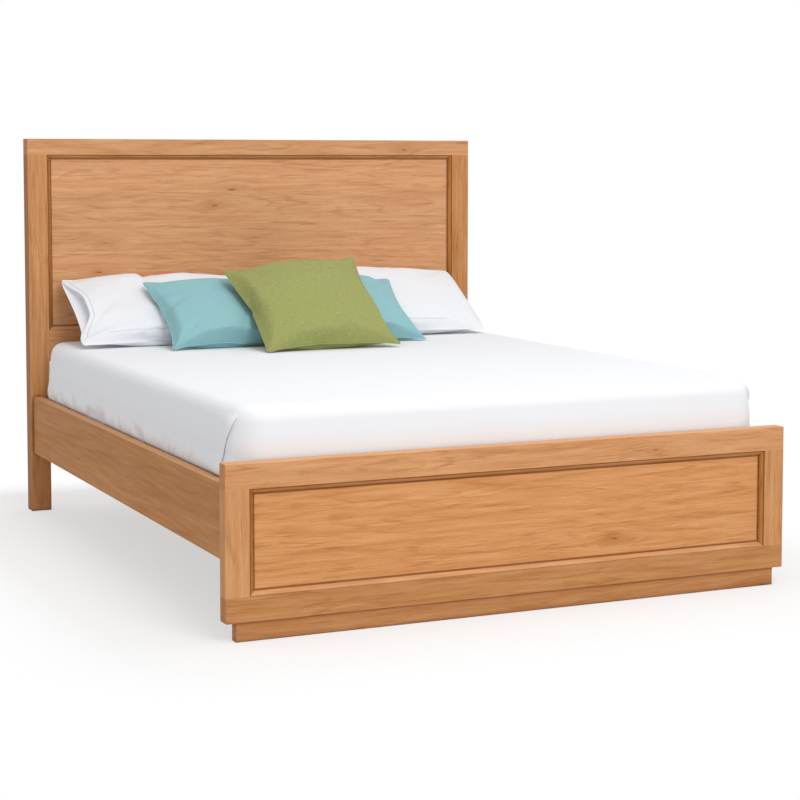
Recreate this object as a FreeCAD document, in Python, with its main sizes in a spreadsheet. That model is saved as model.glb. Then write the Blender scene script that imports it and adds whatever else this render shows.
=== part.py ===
import FreeCAD, Part
import math
import os
import re

import Sketcher

from FreeCAD import Rotation, Vector

# Wooden bed with a framed and panelled headboard and footboard, side rails, a slatted base,
# a mattress in its fitted sheet, two pillows, two cushions and a larger accent cushion.
# X runs across the bed, Y from the foot to the head, Z up from the floor. All sizes in millimetres.

SIZES = {
    # The mattress that the frame is made for, its sheet and the room left round them
    "mattress_width": 1600,
    "mattress_length": 2000,
    "mattress_thickness": 283,
    "mattress_corner_radius": 70,
    "mattress_edge_radius": 40,
    "mattress_side_gap": 18,
    "mattress_end_gap": 12.5,
    "mattress_sink_depth": 90,
    "sheet_thickness": 1.7,
    "sheet_hem_lift": 14,
    "soft_gap": 0.3,
    # Side rails
    "rail_thickness": 32,
    "rail_height": 200,
    "rail_drop_height": 58,
    "rail_inset": 10,
    # Headboard
    "headboard_height": 1315,
    "headboard_thickness": 60,
    "post_width": 70,
    "head_top_rail_height": 56,
    "head_opening_low": 640,
    "head_rail_thickness": 40,
    "head_middle_rail_height": 110,
    "head_lower_rail_height": 120,
    "head_panel_thickness": 15,
    "head_panel_recess": 14,
    # Footboard and its plinth
    "footboard_thickness": 45,
    "stile_width": 66,
    "stile_height": 280,
    "foot_rail_height": 67,
    "foot_panel_thickness": 13,
    "foot_panel_recess": 12,
    "plinth_height": 51,
    "plinth_depth": 34,
    "plinth_inset": 30,
    "plinth_recess": 6,
    # Panels in their grooves and the mitred mouldings round them
    "groove_depth": 12,
    "panel_swell_gap": 2,
    "field_rise": 3,
    "quirk_width": 5,
    "moulding_width": 12,
    "moulding_setback": 1.5,
    "moulding_lip": 2.5,
    "moulding_nose": 4,
    "moulding_swell": 1,
    # Joinery
    "joint_fit": 0.1,
    "tenon_length": 30,
    "tenon_thickness": 14,
    "tenon_shoulder": 12,
    "dowel_diameter": 10,
    "dowel_depth": 28,
    "dowel_spacing": 34,
    "plinth_dowel_spacing": 360,
    "edge_radius": 2.5,
    # Slats and what carries them
    "slat_width": 95,
    "slat_thickness": 18,
    "slat_margin": 15,
    "slat_end_gap": 6,
    "slat_edge_chamfer": 2,
    "ledger_thickness": 28,
    "ledger_height": 40,
    "ledger_end_gap": 2,
    "stretcher_thickness": 28,
    "stretcher_end_gap": 2,
    "beam_width": 40,
    "beam_height": 80,
    "hanger_thickness": 3,
    "hanger_seat": 45,
    "hanger_flange": 22,
    "hanger_cheek": 60,
    # Centre legs and their levelling feet
    "leg_width": 45,
    "leg_spacing": 700,
    "leg_lift": 28,
    "foot_disc_diameter": 42,
    "foot_disc_height": 8,
    "stem_diameter": 10,
    "stem_engagement": 40,
    "stem_fit": 0.1,
    "foot_travel": 12,
    # Corner brackets, bolts and screws
    "bracket_thickness": 4,
    "bracket_height": 70,
    "bracket_rail_leg": 60,
    "bracket_post_leg": 22,
    "bracket_lift": 5,
    "bolt_diameter": 8,
    "bolt_head_diameter": 14,
    "bolt_head_height": 5,
    "bolt_grip": 14,
    "bolt_inset": 17,
    "bolt_rail_setback": 36,
    "bolt_post_setback": 11,
    "screw_diameter": 5,
    "screw_head_diameter": 9,
    "screw_head_height": 3,
    "screw_grip": 18,
    "screw_short": 14,
    "fastener_fit": 0.2,
    # Pillows and cushions, all leaning back at one angle, layer on layer
    "lean_angle": 31,
    "layer_gap": 4,
    "pillow_width": 700,
    "pillow_height": 400,
    "pillow_front": 56,
    "pillow_back": 42,
    "pillow_edge": 10,
    "pillow_end_draw": 40,
    "pillow_low_draw": 4,
    "pillow_top_rise": 22,
    "pillow_centre": 408,
    "cushion_width": 430,
    "cushion_height": 410,
    "cushion_front": 55,
    "cushion_back": 20,
    "cushion_edge": 8,
    "cushion_draw": 14,
    "left_cushion_centre": 292,
    "right_cushion_centre": 222,
    "accent_width": 495,
    "accent_height": 490,
    "accent_front": 62,
    "accent_back": 30,
    "accent_edge": 8,
    "accent_draw": 16,
    "accent_centre": 4,
    "accent_turn": 1.5,
}
SLAT_COUNT = 12
LEDGER_SCREWS = 7
PLINTH_DOWELS = 5
LEFT, RIGHT = -1, 1

doc = FreeCAD.newDocument("wooden_bed")
sheet = doc.addObject("Spreadsheet::Sheet", "Sizes")
for row, (alias, number) in enumerate(SIZES.items(), start=1):
    sheet.set(f"A{row}", alias)
    sheet.set(f"B{row}", str(number))
    sheet.setAlias(f"B{row}", alias)
doc.recompute()

# Lines of the layout, each an expression in the sizes above
half_width = "(mattress_width / 2 + mattress_side_gap + rail_thickness + rail_inset)"
inner_length = "(mattress_length + 2 * mattress_end_gap)"
half_length = f"((footboard_thickness + {inner_length} + headboard_thickness) / 2)"
front = f"(-{half_length})"
foot_inside = f"({front} + footboard_thickness)"
head_inside = f"({half_length} - headboard_thickness)"
foot_opening = f"({half_width} - stile_width)"
foot_opening_low = "(plinth_height + foot_rail_height)"
foot_opening_high = f"({foot_opening_low} + stile_height)"
rail_outer = f"({half_width} - rail_inset)"
rail_inner = f"({rail_outer} - rail_thickness)"
rail_top = f"({foot_opening_high} + foot_rail_height - rail_drop_height)"
rail_low = f"({rail_top} - rail_height)"
slat_top = f"({rail_top} - mattress_sink_depth)"
slat_low = f"({slat_top} - slat_thickness)"
beam_low = f"({slat_low} - beam_height)"
head_opening = f"({half_width} - post_width)"
head_opening_high = "(headboard_height - head_top_rail_height)"
bed_surface = f"({slat_top} + mattress_thickness + soft_gap + sheet_thickness)"

subparts = []


def sized(expression):
    """The expression with each size's name pointing at its cell of the sheet."""
    return re.sub(r"[a-z]+(?:_[a-z]+)+", lambda name: "Sizes." + name.group(), expression)


def value(expression):
    """The expression's number in millimetres or degrees."""
    return float(sheet.evalExpression(expression))


def mirrored(side, inner, outer):
    """The span from inner to outer on the bed's right, or its mirror image on the left."""
    if side == RIGHT:
        return inner, outer
    return f"-({outer})", f"-({inner})"


def place(piece, x="0", y="0", z="0"):
    """Ties the piece's origin to three expressions."""
    for axis, expression in zip("xyz", (x, y, z)):
        piece.setExpression(f"Placement.Base.{axis}", sized(expression))


def new_body(label, x="0", y="0", z="0"):
    """A body that is one sub-part, named by its label."""
    body = doc.addObject("PartDesign::Body", label)
    body.Label = label
    place(body, x, y, z)
    subparts.append(body)
    return body


def new_sketch(body, role="XY_Plane", offset="0"):
    """A sketch on one of the body's origin planes, moved along that plane's normal."""
    sketch = body.newObject("Sketcher::SketchObject", "Sketch")
    plane = next(plane for plane in body.Origin.OriginFeatures if plane.Role == role)
    sketch.AttachmentSupport = [(plane, "")]
    sketch.MapMode = "FlatFace"
    sketch.setExpression("AttachmentOffset.Base.z", sized(offset))
    return sketch


def hold(sketch, kind, geometry, point, expression):
    """Holds a point's distance from the sketch's origin, or a circle's size, to an expression."""
    number = value(expression)
    if point is None:
        constraint = Sketcher.Constraint(kind, geometry, number)
    else:
        constraint = Sketcher.Constraint(kind, -1, 1, geometry, point, number)
    index = sketch.addConstraint(constraint)
    sketch.setExpression(f"Constraints[{index}]", sized(expression))


def draw_outline(sketch, points):
    """A closed outline of straight lines through points given as pairs of expressions."""
    spots = [Vector(value(across), value(along), 0) for across, along in points]
    first = sketch.GeometryCount
    for start, end in zip(spots, spots[1:] + spots[:1]):
        sketch.addGeometry(Part.LineSegment(start, end), False)
    for number, (across, along) in enumerate(points):
        line = first + number
        following = first + (number + 1) % len(points)
        sketch.addConstraint(Sketcher.Constraint("Coincident", line, 2, following, 1))
        hold(sketch, "DistanceX", line, 1, across)
        hold(sketch, "DistanceY", line, 1, along)


def corners(across, along):
    """The four corners of a rectangle."""
    (left, right), (low, high) = across, along
    return [(left, low), (right, low), (right, high), (left, high)]


def add_block(body, x, y, z):
    """Adds a squared block between pairs of expressions along the body's axes."""
    sketch = new_sketch(body, offset=z[0])
    draw_outline(sketch, corners(x, y))
    pad = body.newObject("PartDesign::Pad", "Pad")
    pad.Profile = sketch
    pad.setExpression("Length", sized(f"({z[1]}) - ({z[0]})"))
    sketch.Visibility = False
    return pad


def cut_block(body, x, y, z):
    """Cuts a squared groove, rebate or mortise between pairs of expressions."""
    sketch = new_sketch(body, offset=z[1])
    draw_outline(sketch, corners(x, y))
    pocket = body.newObject("PartDesign::Pocket", "Pocket")
    pocket.Profile = sketch
    pocket.setExpression("Length", sized(f"({z[1]}) - ({z[0]})"))
    return pocket


def bore(body, direction, at, centres, diameter, depth):
    """Bores round holes from a plane square to an axis, in a direction such as +z."""
    role, normal, sign = {
        "x": ("YZ_Plane", "+", ""),
        "y": ("XZ_Plane", "-", "-"),
        "z": ("XY_Plane", "+", ""),
    }[direction[1]]
    sketch = new_sketch(body, role, f"{sign}({at})")
    for across, along in centres:
        middle = Vector(value(across), value(along), 0)
        circle = sketch.addGeometry(Part.Circle(middle, Vector(0, 0, 1), value(diameter) / 2), False)
        hold(sketch, "DistanceX", circle, 3, across)
        hold(sketch, "DistanceY", circle, 3, along)
        hold(sketch, "Diameter", circle, None, diameter)
    pocket = body.newObject("PartDesign::Pocket", "Bore")
    pocket.Profile = sketch
    pocket.setExpression("Length", sized(depth))
    pocket.Reversed = direction[0] == normal
    return pocket


def ease(body, edges, kind="Fillet", size="edge_radius"):
    """Rounds or chamfers the block's edges that are named by the two faces they join, as in x+y-."""
    doc.recompute()
    base = body.Tip
    box = base.Shape.BoundBox
    limits = {"x": (box.XMin, box.XMax), "y": (box.YMin, box.YMax), "z": (box.ZMin, box.ZMax)}
    chosen = []
    for number, edge in enumerate(base.Shape.Edges, start=1):
        middle = edge.BoundBox.Center
        name = ""
        for axis, spot in zip("xyz", middle):
            low, high = limits[axis]
            if abs(spot - low) < 1e-6:
                name += axis + "-"
            elif abs(spot - high) < 1e-6:
                name += axis + "+"
        if name in edges:
            chosen.append(f"Edge{number}")
    eased = body.newObject(f"PartDesign::{kind}", kind)
    eased.Base = (base, chosen)
    eased.setExpression("Radius" if kind == "Fillet" else "Size", sized(size))
    return eased


def solids(label, shapes):
    """A sub-part of several like solids, such as a set of dowels."""
    piece = doc.addObject("Part::Feature", label)
    piece.Label = label
    piece.Shape = Part.makeCompound(shapes)
    subparts.append(piece)
    return piece


def tenon(rail_height):
    """Where a rail's tenon lies in the rail's thickness and height."""
    middle = "head_rail_thickness / 2"
    across = (f"{middle} - tenon_thickness / 2", f"{middle} + tenon_thickness / 2")
    return across, ("tenon_shoulder", f"{rail_height} - tenon_shoulder")


def widened(span, base="0"):
    """A span seen from another origin, with the joint's fit added at both ends."""
    low, high = span
    return f"{base} + {low} - joint_fit", f"{base} + {high} + joint_fit"


def dowel_spots(member_width, opening):
    """Where a post's or stile's pair of dowels stands across the bed, on the right."""
    middle = f"({opening} + {member_width} / 2)"
    return [f"{middle} - dowel_spacing / 2", f"{middle} + dowel_spacing / 2"]


def both_sides(spots):
    """The spots on the right and their mirror images on the left."""
    return [spot for right in spots for spot in (right, f"-({right})")]


head_dowels = dowel_spots("post_width", head_opening)
foot_dowels = dowel_spots("stile_width", foot_opening)
plinth_dowels = [
    f"({number - (PLINTH_DOWELS - 1) / 2}) * plinth_dowel_spacing" for number in range(PLINTH_DOWELS)
]
dowel_bore = "dowel_diameter + fastener_fit"
dowel_room = "dowel_depth + fastener_fit"
bolt_heights = ("bolt_inset", "(bracket_height - bolt_inset)")
bracket_low = f"({slat_top} + bracket_lift)"
bolt_bore = "bolt_diameter + fastener_fit"
bolt_room = "bolt_grip + fastener_fit"
screw_bore = "screw_diameter + fastener_fit"
screw_room = "screw_grip + fastener_fit"

# Headboard: two posts, a top rail over them, two rails tenoned between them and a fielded panel
head_tongue = "(head_panel_recess + field_rise)"
head_groove = widened((head_tongue, f"({head_tongue} + head_panel_thickness)"))
head_rails = {
    "headboard_middle_rail": ("head_middle_rail_height", "(head_opening_low - head_middle_rail_height)"),
    "headboard_lower_rail": ("head_lower_rail_height", f"({beam_low} - hanger_thickness)"),
}


def headboard_post(label, side):
    """A post with the panel's groove, a mortise for each rail, dowel holes and bolt holes."""
    body = new_body(label, y=head_inside)
    add_block(
        body,
        mirrored(side, head_opening, half_width),
        ("0", "headboard_thickness"),
        ("0", head_opening_high),
    )
    outer, inner = ("x+", "x-") if side == RIGHT else ("x-", "x+")
    ease(body, [outer + "y-", outer + "y+", inner + "y+", outer + "z-", "y-z-", "y+z-", inner + "z-"])
    groove = mirrored(side, head_opening, f"{head_opening} + groove_depth")
    cut_block(body, groove, head_groove, ("head_opening_low - groove_depth", head_opening_high))
    for height, low in head_rails.values():
        across, along = tenon(height)
        mortise = mirrored(side, head_opening, f"{head_opening} + tenon_length + joint_fit")
        cut_block(body, mortise, widened(across), widened(along, low))
    centres = [(mirrored(side, "0", spot)[side == RIGHT], "headboard_thickness / 2") for spot in head_dowels]
    bore(body, "-z", head_opening_high, centres, dowel_bore, dowel_room)
    spot = mirrored(side, "0", f"{rail_inner} - bolt_post_setback")[side == RIGHT]
    bolts = [(spot, f"{bracket_low} + {height}") for height in bolt_heights]
    bore(body, "+y", "0", bolts, bolt_bore, bolt_room)


def headboard_top_rail():
    """The rail that lies over both posts, grooved underneath for the panel."""
    body = new_body("headboard_top_rail", y=head_inside, z=head_opening_high)
    across = (f"-{half_width}", half_width)
    add_block(body, across, ("0", "headboard_thickness"), ("0", "head_top_rail_height"))
    ease(body, ["y-z+", "y+z+", "x-z+", "x+z+", "x-y-", "x-y+", "x+y-", "x+y+"])
    reach = f"({head_opening} + groove_depth)"
    cut_block(body, (f"-{reach}", reach), head_groove, ("0", "groove_depth"))
    centres = [(spot, "headboard_thickness / 2") for spot in both_sides(head_dowels)]
    bore(body, "+z", "0", centres, dowel_bore, dowel_room)


def headboard_rail(label):
    """A rail between the posts, with a tenon at each end."""
    height, low = head_rails[label]
    body = new_body(label, y=head_inside, z=low)
    add_block(body, (f"-{head_opening}", head_opening), ("0", "head_rail_thickness"), ("0", height))
    across, along = tenon(height)
    reach = f"({head_opening} + tenon_length)"
    add_block(body, (f"-{reach}", reach), across, along)
    return body


def headboard_rails():
    """The rail under the panel, grooved on top, and the lower one that carries the centre beam."""
    middle = headboard_rail("headboard_middle_rail")
    height = "head_middle_rail_height"
    cut_block(
        middle, (f"-{head_opening}", head_opening), head_groove, (f"{height} - groove_depth", height)
    )
    lower = headboard_rail("headboard_lower_rail")
    bore(lower, "+y", "0", hanger_screws(), screw_bore, screw_room)


def fielded_panel(label, opening, low, high, thickness, recess, y):
    """A panel whose tongue floats in the grooves and whose field stands proud on the front."""
    tongue_reach = "(groove_depth - panel_swell_gap)"
    body = new_body(label, y=f"{y} + {recess} + field_rise", z=f"{low} - {tongue_reach}")
    across = f"({opening} + {tongue_reach})"
    height = f"({high} - {low} + 2 * {tongue_reach})"
    add_block(body, (f"-{across}", across), ("0", thickness), ("0", height))
    border = "(moulding_width + quirk_width)"
    field = f"({opening} - {border})"
    edge = f"({tongue_reach} + {border})"
    add_block(body, (f"-{field}", field), ("-field_rise", "0"), (edge, f"{height} - {edge}"))


def moulding(label, length, depth, turn, x, y, z):
    """A mitred strip between the frame's edge and the panel's field, with a softly rounded slope."""
    body = new_body(label, x, y, z)
    body.Placement.Rotation = Rotation(Vector(0, 1, 0), turn)
    sketch = new_sketch(body, "YZ_Plane")
    points = [
        ("0", "0"),
        (f"-({depth})", "0"),
        (f"-({depth})", "moulding_lip"),
        ("-moulding_nose", "moulding_width"),
        ("0", "moulding_width"),
    ]
    spots = [Vector(value(across), value(along), 0) for across, along in points]
    lip, nose = spots[2], spots[3]
    slope = nose - lip
    bulge = (lip + nose) / 2 + Vector(-slope.y, slope.x, 0).normalize() * value("moulding_swell")
    for start, end in ((0, 1), (1, 2), (3, 4), (4, 0)):
        sketch.addGeometry(Part.LineSegment(spots[start], spots[end]), False)
    sketch.addGeometry(Part.Arc(nose, bulge, lip), False)
    for line, number in ((0, 0), (1, 1), (2, 3), (3, 4)):
        hold(sketch, "DistanceX", line, 1, points[number][0])
        hold(sketch, "DistanceY", line, 1, points[number][1])
    hold(sketch, "DistanceX", 1, 2, points[2][0])
    hold(sketch, "DistanceY", 1, 2, points[2][1])
    for line, end, following, start in ((0, 2, 1, 1), (2, 2, 3, 1), (3, 2, 0, 1)):
        sketch.addConstraint(Sketcher.Constraint("Coincident", line, end, following, start))
    arc = 4
    start_is_lip = sketch.getPoint(arc, 1).distanceToPoint(lip) < sketch.getPoint(arc, 1).distanceToPoint(nose)
    lip_end, nose_end = (1, 2) if start_is_lip else (2, 1)
    sketch.addConstraint(Sketcher.Constraint("Coincident", 1, 2, arc, lip_end))
    sketch.addConstraint(Sketcher.Constraint("Coincident", 2, 1, arc, nose_end))
    chord = f"sqrt((moulding_width - moulding_lip)^2 + ({depth} - moulding_nose)^2)"
    radius = f"(({chord})^2 / (8 * moulding_swell) + moulding_swell / 2)"
    index = sketch.addConstraint(Sketcher.Constraint("Radius", arc, value(radius)))
    sketch.setExpression(f"Constraints[{index}]", sized(radius))
    pad = body.newObject("PartDesign::Pad", "Strip")
    pad.Profile = sketch
    pad.setExpression("Length", sized(length))
    mitre = new_sketch(body, "XZ_Plane")
    width = "moulding_width"
    draw_outline(mitre, [("0", "0"), (width, width), ("0", width)])
    draw_outline(mitre, [(length, "0"), (length, width), (f"{length} - {width}", width)])
    cut = body.newObject("PartDesign::Pocket", "Mitres")
    cut.Profile = mitre
    cut.Type = "ThroughAll"
    cut.Midplane = True


def mouldings(prefix, opening, low, high, recess, y):
    """The four strips round an opening."""
    depth = f"{recess} + field_rise - moulding_setback"
    seat = f"{y} + {recess} + field_rise"
    width, height = f"(2 * {opening})", f"({high} - {low})"
    moulding(f"{prefix}_moulding_bottom", width, depth, 0, f"-{opening}", seat, low)
    moulding(f"{prefix}_moulding_left", height, depth, 90, f"-{opening}", seat, high)
    moulding(f"{prefix}_moulding_top", width, depth, 180, opening, seat, high)
    moulding(f"{prefix}_moulding_right", height, depth, 270, opening, seat, low)


# Footboard: top and bottom rails right across, stiles between them, a fielded panel and a plinth
foot_tongue = "(foot_panel_recess + field_rise)"
foot_groove = widened((foot_tongue, f"({foot_tongue} + foot_panel_thickness)"))


def footboard_stile(label, side):
    """A stile between the footboard's rails."""
    body = new_body(label, y=front, z=foot_opening_low)
    across = mirrored(side, foot_opening, half_width)
    add_block(body, across, ("0", "footboard_thickness"), ("0", "stile_height"))
    outer = "x+" if side == RIGHT else "x-"
    ease(body, [outer + "y-", outer + "y+"])
    groove = mirrored(side, foot_opening, f"{foot_opening} + groove_depth")
    cut_block(body, groove, foot_groove, ("0", "stile_height"))
    centres = [(mirrored(side, "0", spot)[side == RIGHT], "footboard_thickness / 2") for spot in foot_dowels]
    bore(body, "+z", "0", centres, dowel_bore, dowel_room)
    bore(body, "-z", "stile_height", centres, dowel_bore, dowel_room)
    spot = mirrored(side, "0", f"{rail_inner} - bolt_post_setback")[side == RIGHT]
    bolts = [(spot, f"{bracket_low} - {foot_opening_low} + {height}") for height in bolt_heights]
    bore(body, "-y", "footboard_thickness", bolts, bolt_bore, bolt_room)
    screw = mirrored(side, "0", stretcher_screw_x)[side == RIGHT]
    screws = [(screw, f"{beam_low} - {foot_opening_low} + {height}") for height in stretcher_screw_heights]
    bore(body, "-y", "footboard_thickness", screws, screw_bore, "screw_short + fastener_fit")


def footboard_rail(label, low, groove, dowel_face, dowel_way):
    """A rail the full width of the footboard, grooved along the edge that faces the panel."""
    body = new_body(label, y=front, z=low)
    add_block(
        body, (f"-{half_width}", half_width), ("0", "footboard_thickness"), ("0", "foot_rail_height")
    )
    far = "z+" if dowel_way == "+z" else "z-"
    rounded = ["y-" + far, "y+" + far, "x-" + far, "x+" + far]
    ease(body, rounded + ["x-y-", "x-y+", "x+y-", "x+y+"])
    reach = f"({foot_opening} + groove_depth)"
    cut_block(body, (f"-{reach}", reach), foot_groove, groove)
    centres = [(spot, "footboard_thickness / 2") for spot in both_sides(foot_dowels)]
    bore(body, dowel_way, dowel_face, centres, dowel_bore, dowel_room)
    return body


def footboard_rails():
    """The top rail, and the bottom rail with the holes for the plinth's dowels."""
    footboard_rail("footboard_top_rail", foot_opening_high, ("0", "groove_depth"), "0", "+z")
    bottom = footboard_rail(
        "footboard_bottom_rail",
        "plinth_height",
        ("foot_rail_height - groove_depth", "foot_rail_height"),
        "foot_rail_height",
        "-z",
    )
    centres = [(spot, "plinth_recess + plinth_depth / 2") for spot in plinth_dowels]
    bore(bottom, "+z", "0", centres, dowel_bore, dowel_room)


def plinth():
    """The set-back board that the footboard stands on."""
    body = new_body("plinth", y=f"{front} + plinth_recess")
    reach = f"({half_width} - plinth_inset)"
    add_block(body, (f"-{reach}", reach), ("0", "plinth_depth"), ("0", "plinth_height"))
    ease(body, ["x-y-", "x-y+", "x+y-", "x+y+", "y-z-", "y+z-"])
    centres = [(spot, "plinth_depth / 2") for spot in plinth_dowels]
    bore(body, "-z", "plinth_height", centres, dowel_bore, dowel_room)


def dowel_pins():
    """Every dowel of the headboard, footboard, plinth and centre legs, with bevelled ends."""
    radius, depth = value("dowel_diameter") / 2, value("dowel_depth")
    bevel = radius / 4
    pin = Part.makeCylinder(radius, 2 * depth - 2 * bevel, Vector(0, 0, bevel - depth))
    tip = Part.makeCone(radius, radius - bevel, bevel, Vector(0, 0, depth - bevel))
    tail = tip.mirror(Vector(0, 0, 0), Vector(0, 0, 1))
    pin = pin.fuse([tip, tail]).removeSplitter()
    spots = [(x, f"{head_inside} + headboard_thickness / 2", head_opening_high) for x in both_sides(head_dowels)]
    for height in (foot_opening_low, foot_opening_high):
        spots += [(x, f"{front} + footboard_thickness / 2", height) for x in both_sides(foot_dowels)]
    spots += [(x, f"{front} + plinth_recess + plinth_depth / 2", "plinth_height") for x in plinth_dowels]
    spots += [("0", y, beam_low) for y in leg_places.values()]
    solids("dowels", [pin.translated(Vector(*map(value, spot))) for spot in spots])


# Side rails with the ledgers, stretcher, centre beam, legs and slats that carry the mattress
ledger_low = f"({slat_low} - ledger_height)"
ledger_start = "(stretcher_thickness + ledger_end_gap)"
ledger_length = f"({inner_length} - {ledger_start} - ledger_end_gap)"
ledger_screw_places = [
    f"{(number + 0.5) / LEDGER_SCREWS} * {ledger_length}" for number in range(LEDGER_SCREWS)
]
stretcher_screw_x = f"(({rail_inner} - stretcher_end_gap + {foot_opening}) / 2)"
stretcher_screw_heights = ("beam_height / 4", "3 * beam_height / 4")
leg_places = {
    "front_centre_leg": f"(({foot_inside} + {head_inside}) / 2 - leg_spacing / 2)",
    "rear_centre_leg": f"(({foot_inside} + {head_inside}) / 2 + leg_spacing / 2)",
}
slat_step = f"(({inner_length} - 2 * slat_margin - slat_width) / {SLAT_COUNT - 1})"
slat_screw_x = f"({rail_inner} - ledger_thickness / 2)"


def hanger_screws():
    """Where a beam hanger's screws stand on its flanges, across the bed and above its seat."""
    across = "(beam_width / 2 + hanger_thickness + hanger_flange / 2)"
    heights = ("beam_height / 4 + hanger_thickness", "3 * beam_height / 4 + hanger_thickness")
    return [(x, z) for x in (across, f"-{across}") for z in heights]


def side_rail(label, side):
    """A side rail with holes for its corner brackets' bolts and its ledger's screws."""
    body = new_body(label, y=foot_inside, z=rail_low)
    add_block(body, mirrored(side, rail_inner, rail_outer), ("0", inner_length), ("0", "rail_height"))
    ease(body, ["x-z-", "x-z+", "x+z-", "x+z+"])
    inner_face = mirrored(side, rail_inner, rail_inner)[0]
    way = "+x" if side == RIGHT else "-x"
    bolts = [
        (y, f"{bracket_low} - {rail_low} + {z}")
        for y in ("bolt_rail_setback", f"{inner_length} - bolt_rail_setback")
        for z in bolt_heights
    ]
    bore(body, way, inner_face, bolts, bolt_bore, bolt_room)
    height = f"{ledger_low} - {rail_low} + ledger_height / 2"
    screws = [(f"{ledger_start} + {y}", height) for y in ledger_screw_places]
    bore(body, way, inner_face, screws, screw_bore, screw_room)


def slat_ledger(label, side):
    """The strip screwed inside a side rail that the slats' ends lie on."""
    body = new_body(label, y=f"{foot_inside} + {ledger_start}", z=ledger_low)
    across = mirrored(side, f"({rail_inner} - ledger_thickness)", rail_inner)
    add_block(body, across, ("0", ledger_length), ("0", "ledger_height"))
    inner_face, way = (across[0], "+x") if side == RIGHT else (across[1], "-x")
    screws = [(y, "ledger_height / 2") for y in ledger_screw_places]
    bore(body, way, inner_face, screws, screw_bore, "ledger_thickness")
    bore(body, way, inner_face, screws, "screw_head_diameter + fastener_fit", "screw_head_height")
    offset = f"slat_margin + slat_width / 2 - {ledger_start}"
    spot = mirrored(side, "0", slat_screw_x)[side == RIGHT]
    centres = [(spot, f"{number} * {slat_step} + {offset}") for number in range(SLAT_COUNT)]
    bore(body, "-z", "ledger_height", centres, screw_bore, screw_room)


def stretcher():
    """The board screwed across the back of the footboard, which carries the beam's foot end."""
    body = new_body("footboard_stretcher", y=foot_inside, z=beam_low)
    reach = f"({rail_inner} - stretcher_end_gap)"
    add_block(body, (f"-{reach}", reach), ("0", "stretcher_thickness"), ("0", "beam_height"))
    ends = [(x, z) for x in both_sides([stretcher_screw_x]) for z in stretcher_screw_heights]
    face = "stretcher_thickness"
    bore(body, "-y", face, ends, screw_bore, face)
    bore(body, "-y", face, ends, "screw_head_diameter + fastener_fit", "screw_head_height")
    hangers = [(x, f"{z} - hanger_thickness") for x, z in hanger_screws()]
    bore(body, "-y", face, hangers, screw_bore, screw_room)


beam_foot = f"({foot_inside} + stretcher_thickness)"


def centre_beam():
    """The beam under the middle of the slats, held at both ends in steel hangers."""
    body = new_body("centre_beam", y=f"{beam_foot} + hanger_thickness", z=beam_low)
    length = f"({head_inside} - {beam_foot} - 2 * hanger_thickness)"
    add_block(body, ("-beam_width / 2", "beam_width / 2"), ("0", length), ("0", "beam_height"))
    centres = [("0", f"{y} - {beam_foot} - hanger_thickness") for y in leg_places.values()]
    bore(body, "+z", "0", centres, dowel_bore, dowel_room)


def beam_hanger(label, y, way):
    """A steel hanger: a back plate with flanges, a seat under the beam and a cheek on each side."""
    body = new_body(label, y=y, z=f"{beam_low} - hanger_thickness")
    inside = "(beam_width / 2 + joint_fit)"
    cheek = f"({inside} + hanger_thickness)"
    flange = f"({cheek} + hanger_flange)"
    height = "(beam_height + hanger_thickness)"

    def along(near, far):
        return (near, far) if way == "+y" else (f"-({far})", f"-({near})")

    add_block(body, (f"-{flange}", flange), along("0", "hanger_thickness"), ("0", height))
    seat = along("0", "hanger_seat")
    add_block(body, (f"-{cheek}", cheek), seat, ("0", "hanger_thickness"))
    for side in (LEFT, RIGHT):
        add_block(body, mirrored(side, inside, cheek), seat, ("0", "hanger_cheek"))
    back = "hanger_thickness" if way == "+y" else "-hanger_thickness"
    bore(body, "-y" if way == "+y" else "+y", back, hanger_screws(), screw_bore, "hanger_thickness")


def centre_leg(label, y):
    """A square leg under the beam, bored for its dowel and for the levelling foot's stem."""
    body = new_body(label, y=y, z="leg_lift")
    half = "leg_width / 2"
    height = f"({beam_low} - leg_lift)"
    add_block(body, (f"-{half}", half), (f"-{half}", half), ("0", height))
    ease(body, ["x-y-", "x-y+", "x+y-", "x+y+"])
    bore(body, "-z", height, [("0", "0")], dowel_bore, dowel_room)
    room = "stem_engagement + foot_travel + stem_fit"
    bore(body, "+z", "0", [("0", "0")], "stem_diameter + stem_fit", room)


def levelling_foot(label, y):
    """A round foot on a threaded stem, turned as one piece."""
    body = new_body(label, y=y)
    sketch = new_sketch(body, "XZ_Plane")
    disc, stem = "foot_disc_diameter / 2", "stem_diameter / 2"
    slope = "foot_disc_height / 4"
    top = "leg_lift + stem_engagement"
    draw_outline(
        sketch,
        [
            ("0", "0"),
            (f"{disc} - {slope}", "0"),
            (disc, slope),
            (disc, f"foot_disc_height - {slope}"),
            (f"{disc} - {slope}", "foot_disc_height"),
            (stem, "foot_disc_height"),
            (stem, top),
            ("0", top),
        ],
    )
    turned = body.newObject("PartDesign::Revolution", "Turning")
    turned.Profile = sketch
    turned.ReferenceAxis = (sketch, ["V_Axis"])
    turned.Angle = 360


def slat(number):
    """One slat, with a counterbored screw hole at each end."""
    start = f"({foot_inside} + slat_margin + {number} * {slat_step})"
    body = new_body(f"slat_{number + 1:02d}", y=start, z=slat_low)
    reach = f"({rail_inner} - slat_end_gap)"
    add_block(body, (f"-{reach}", reach), ("0", "slat_width"), ("0", "slat_thickness"))
    ease(body, ["y-z+", "y+z+"], "Chamfer", "slat_edge_chamfer")
    centres = [(x, "slat_width / 2") for x in both_sides([slat_screw_x])]
    top = "slat_thickness"
    bore(body, "-z", top, centres, screw_bore, top)
    bore(body, "-z", top, centres, "screw_head_diameter + fastener_fit", "screw_head_height")


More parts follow.
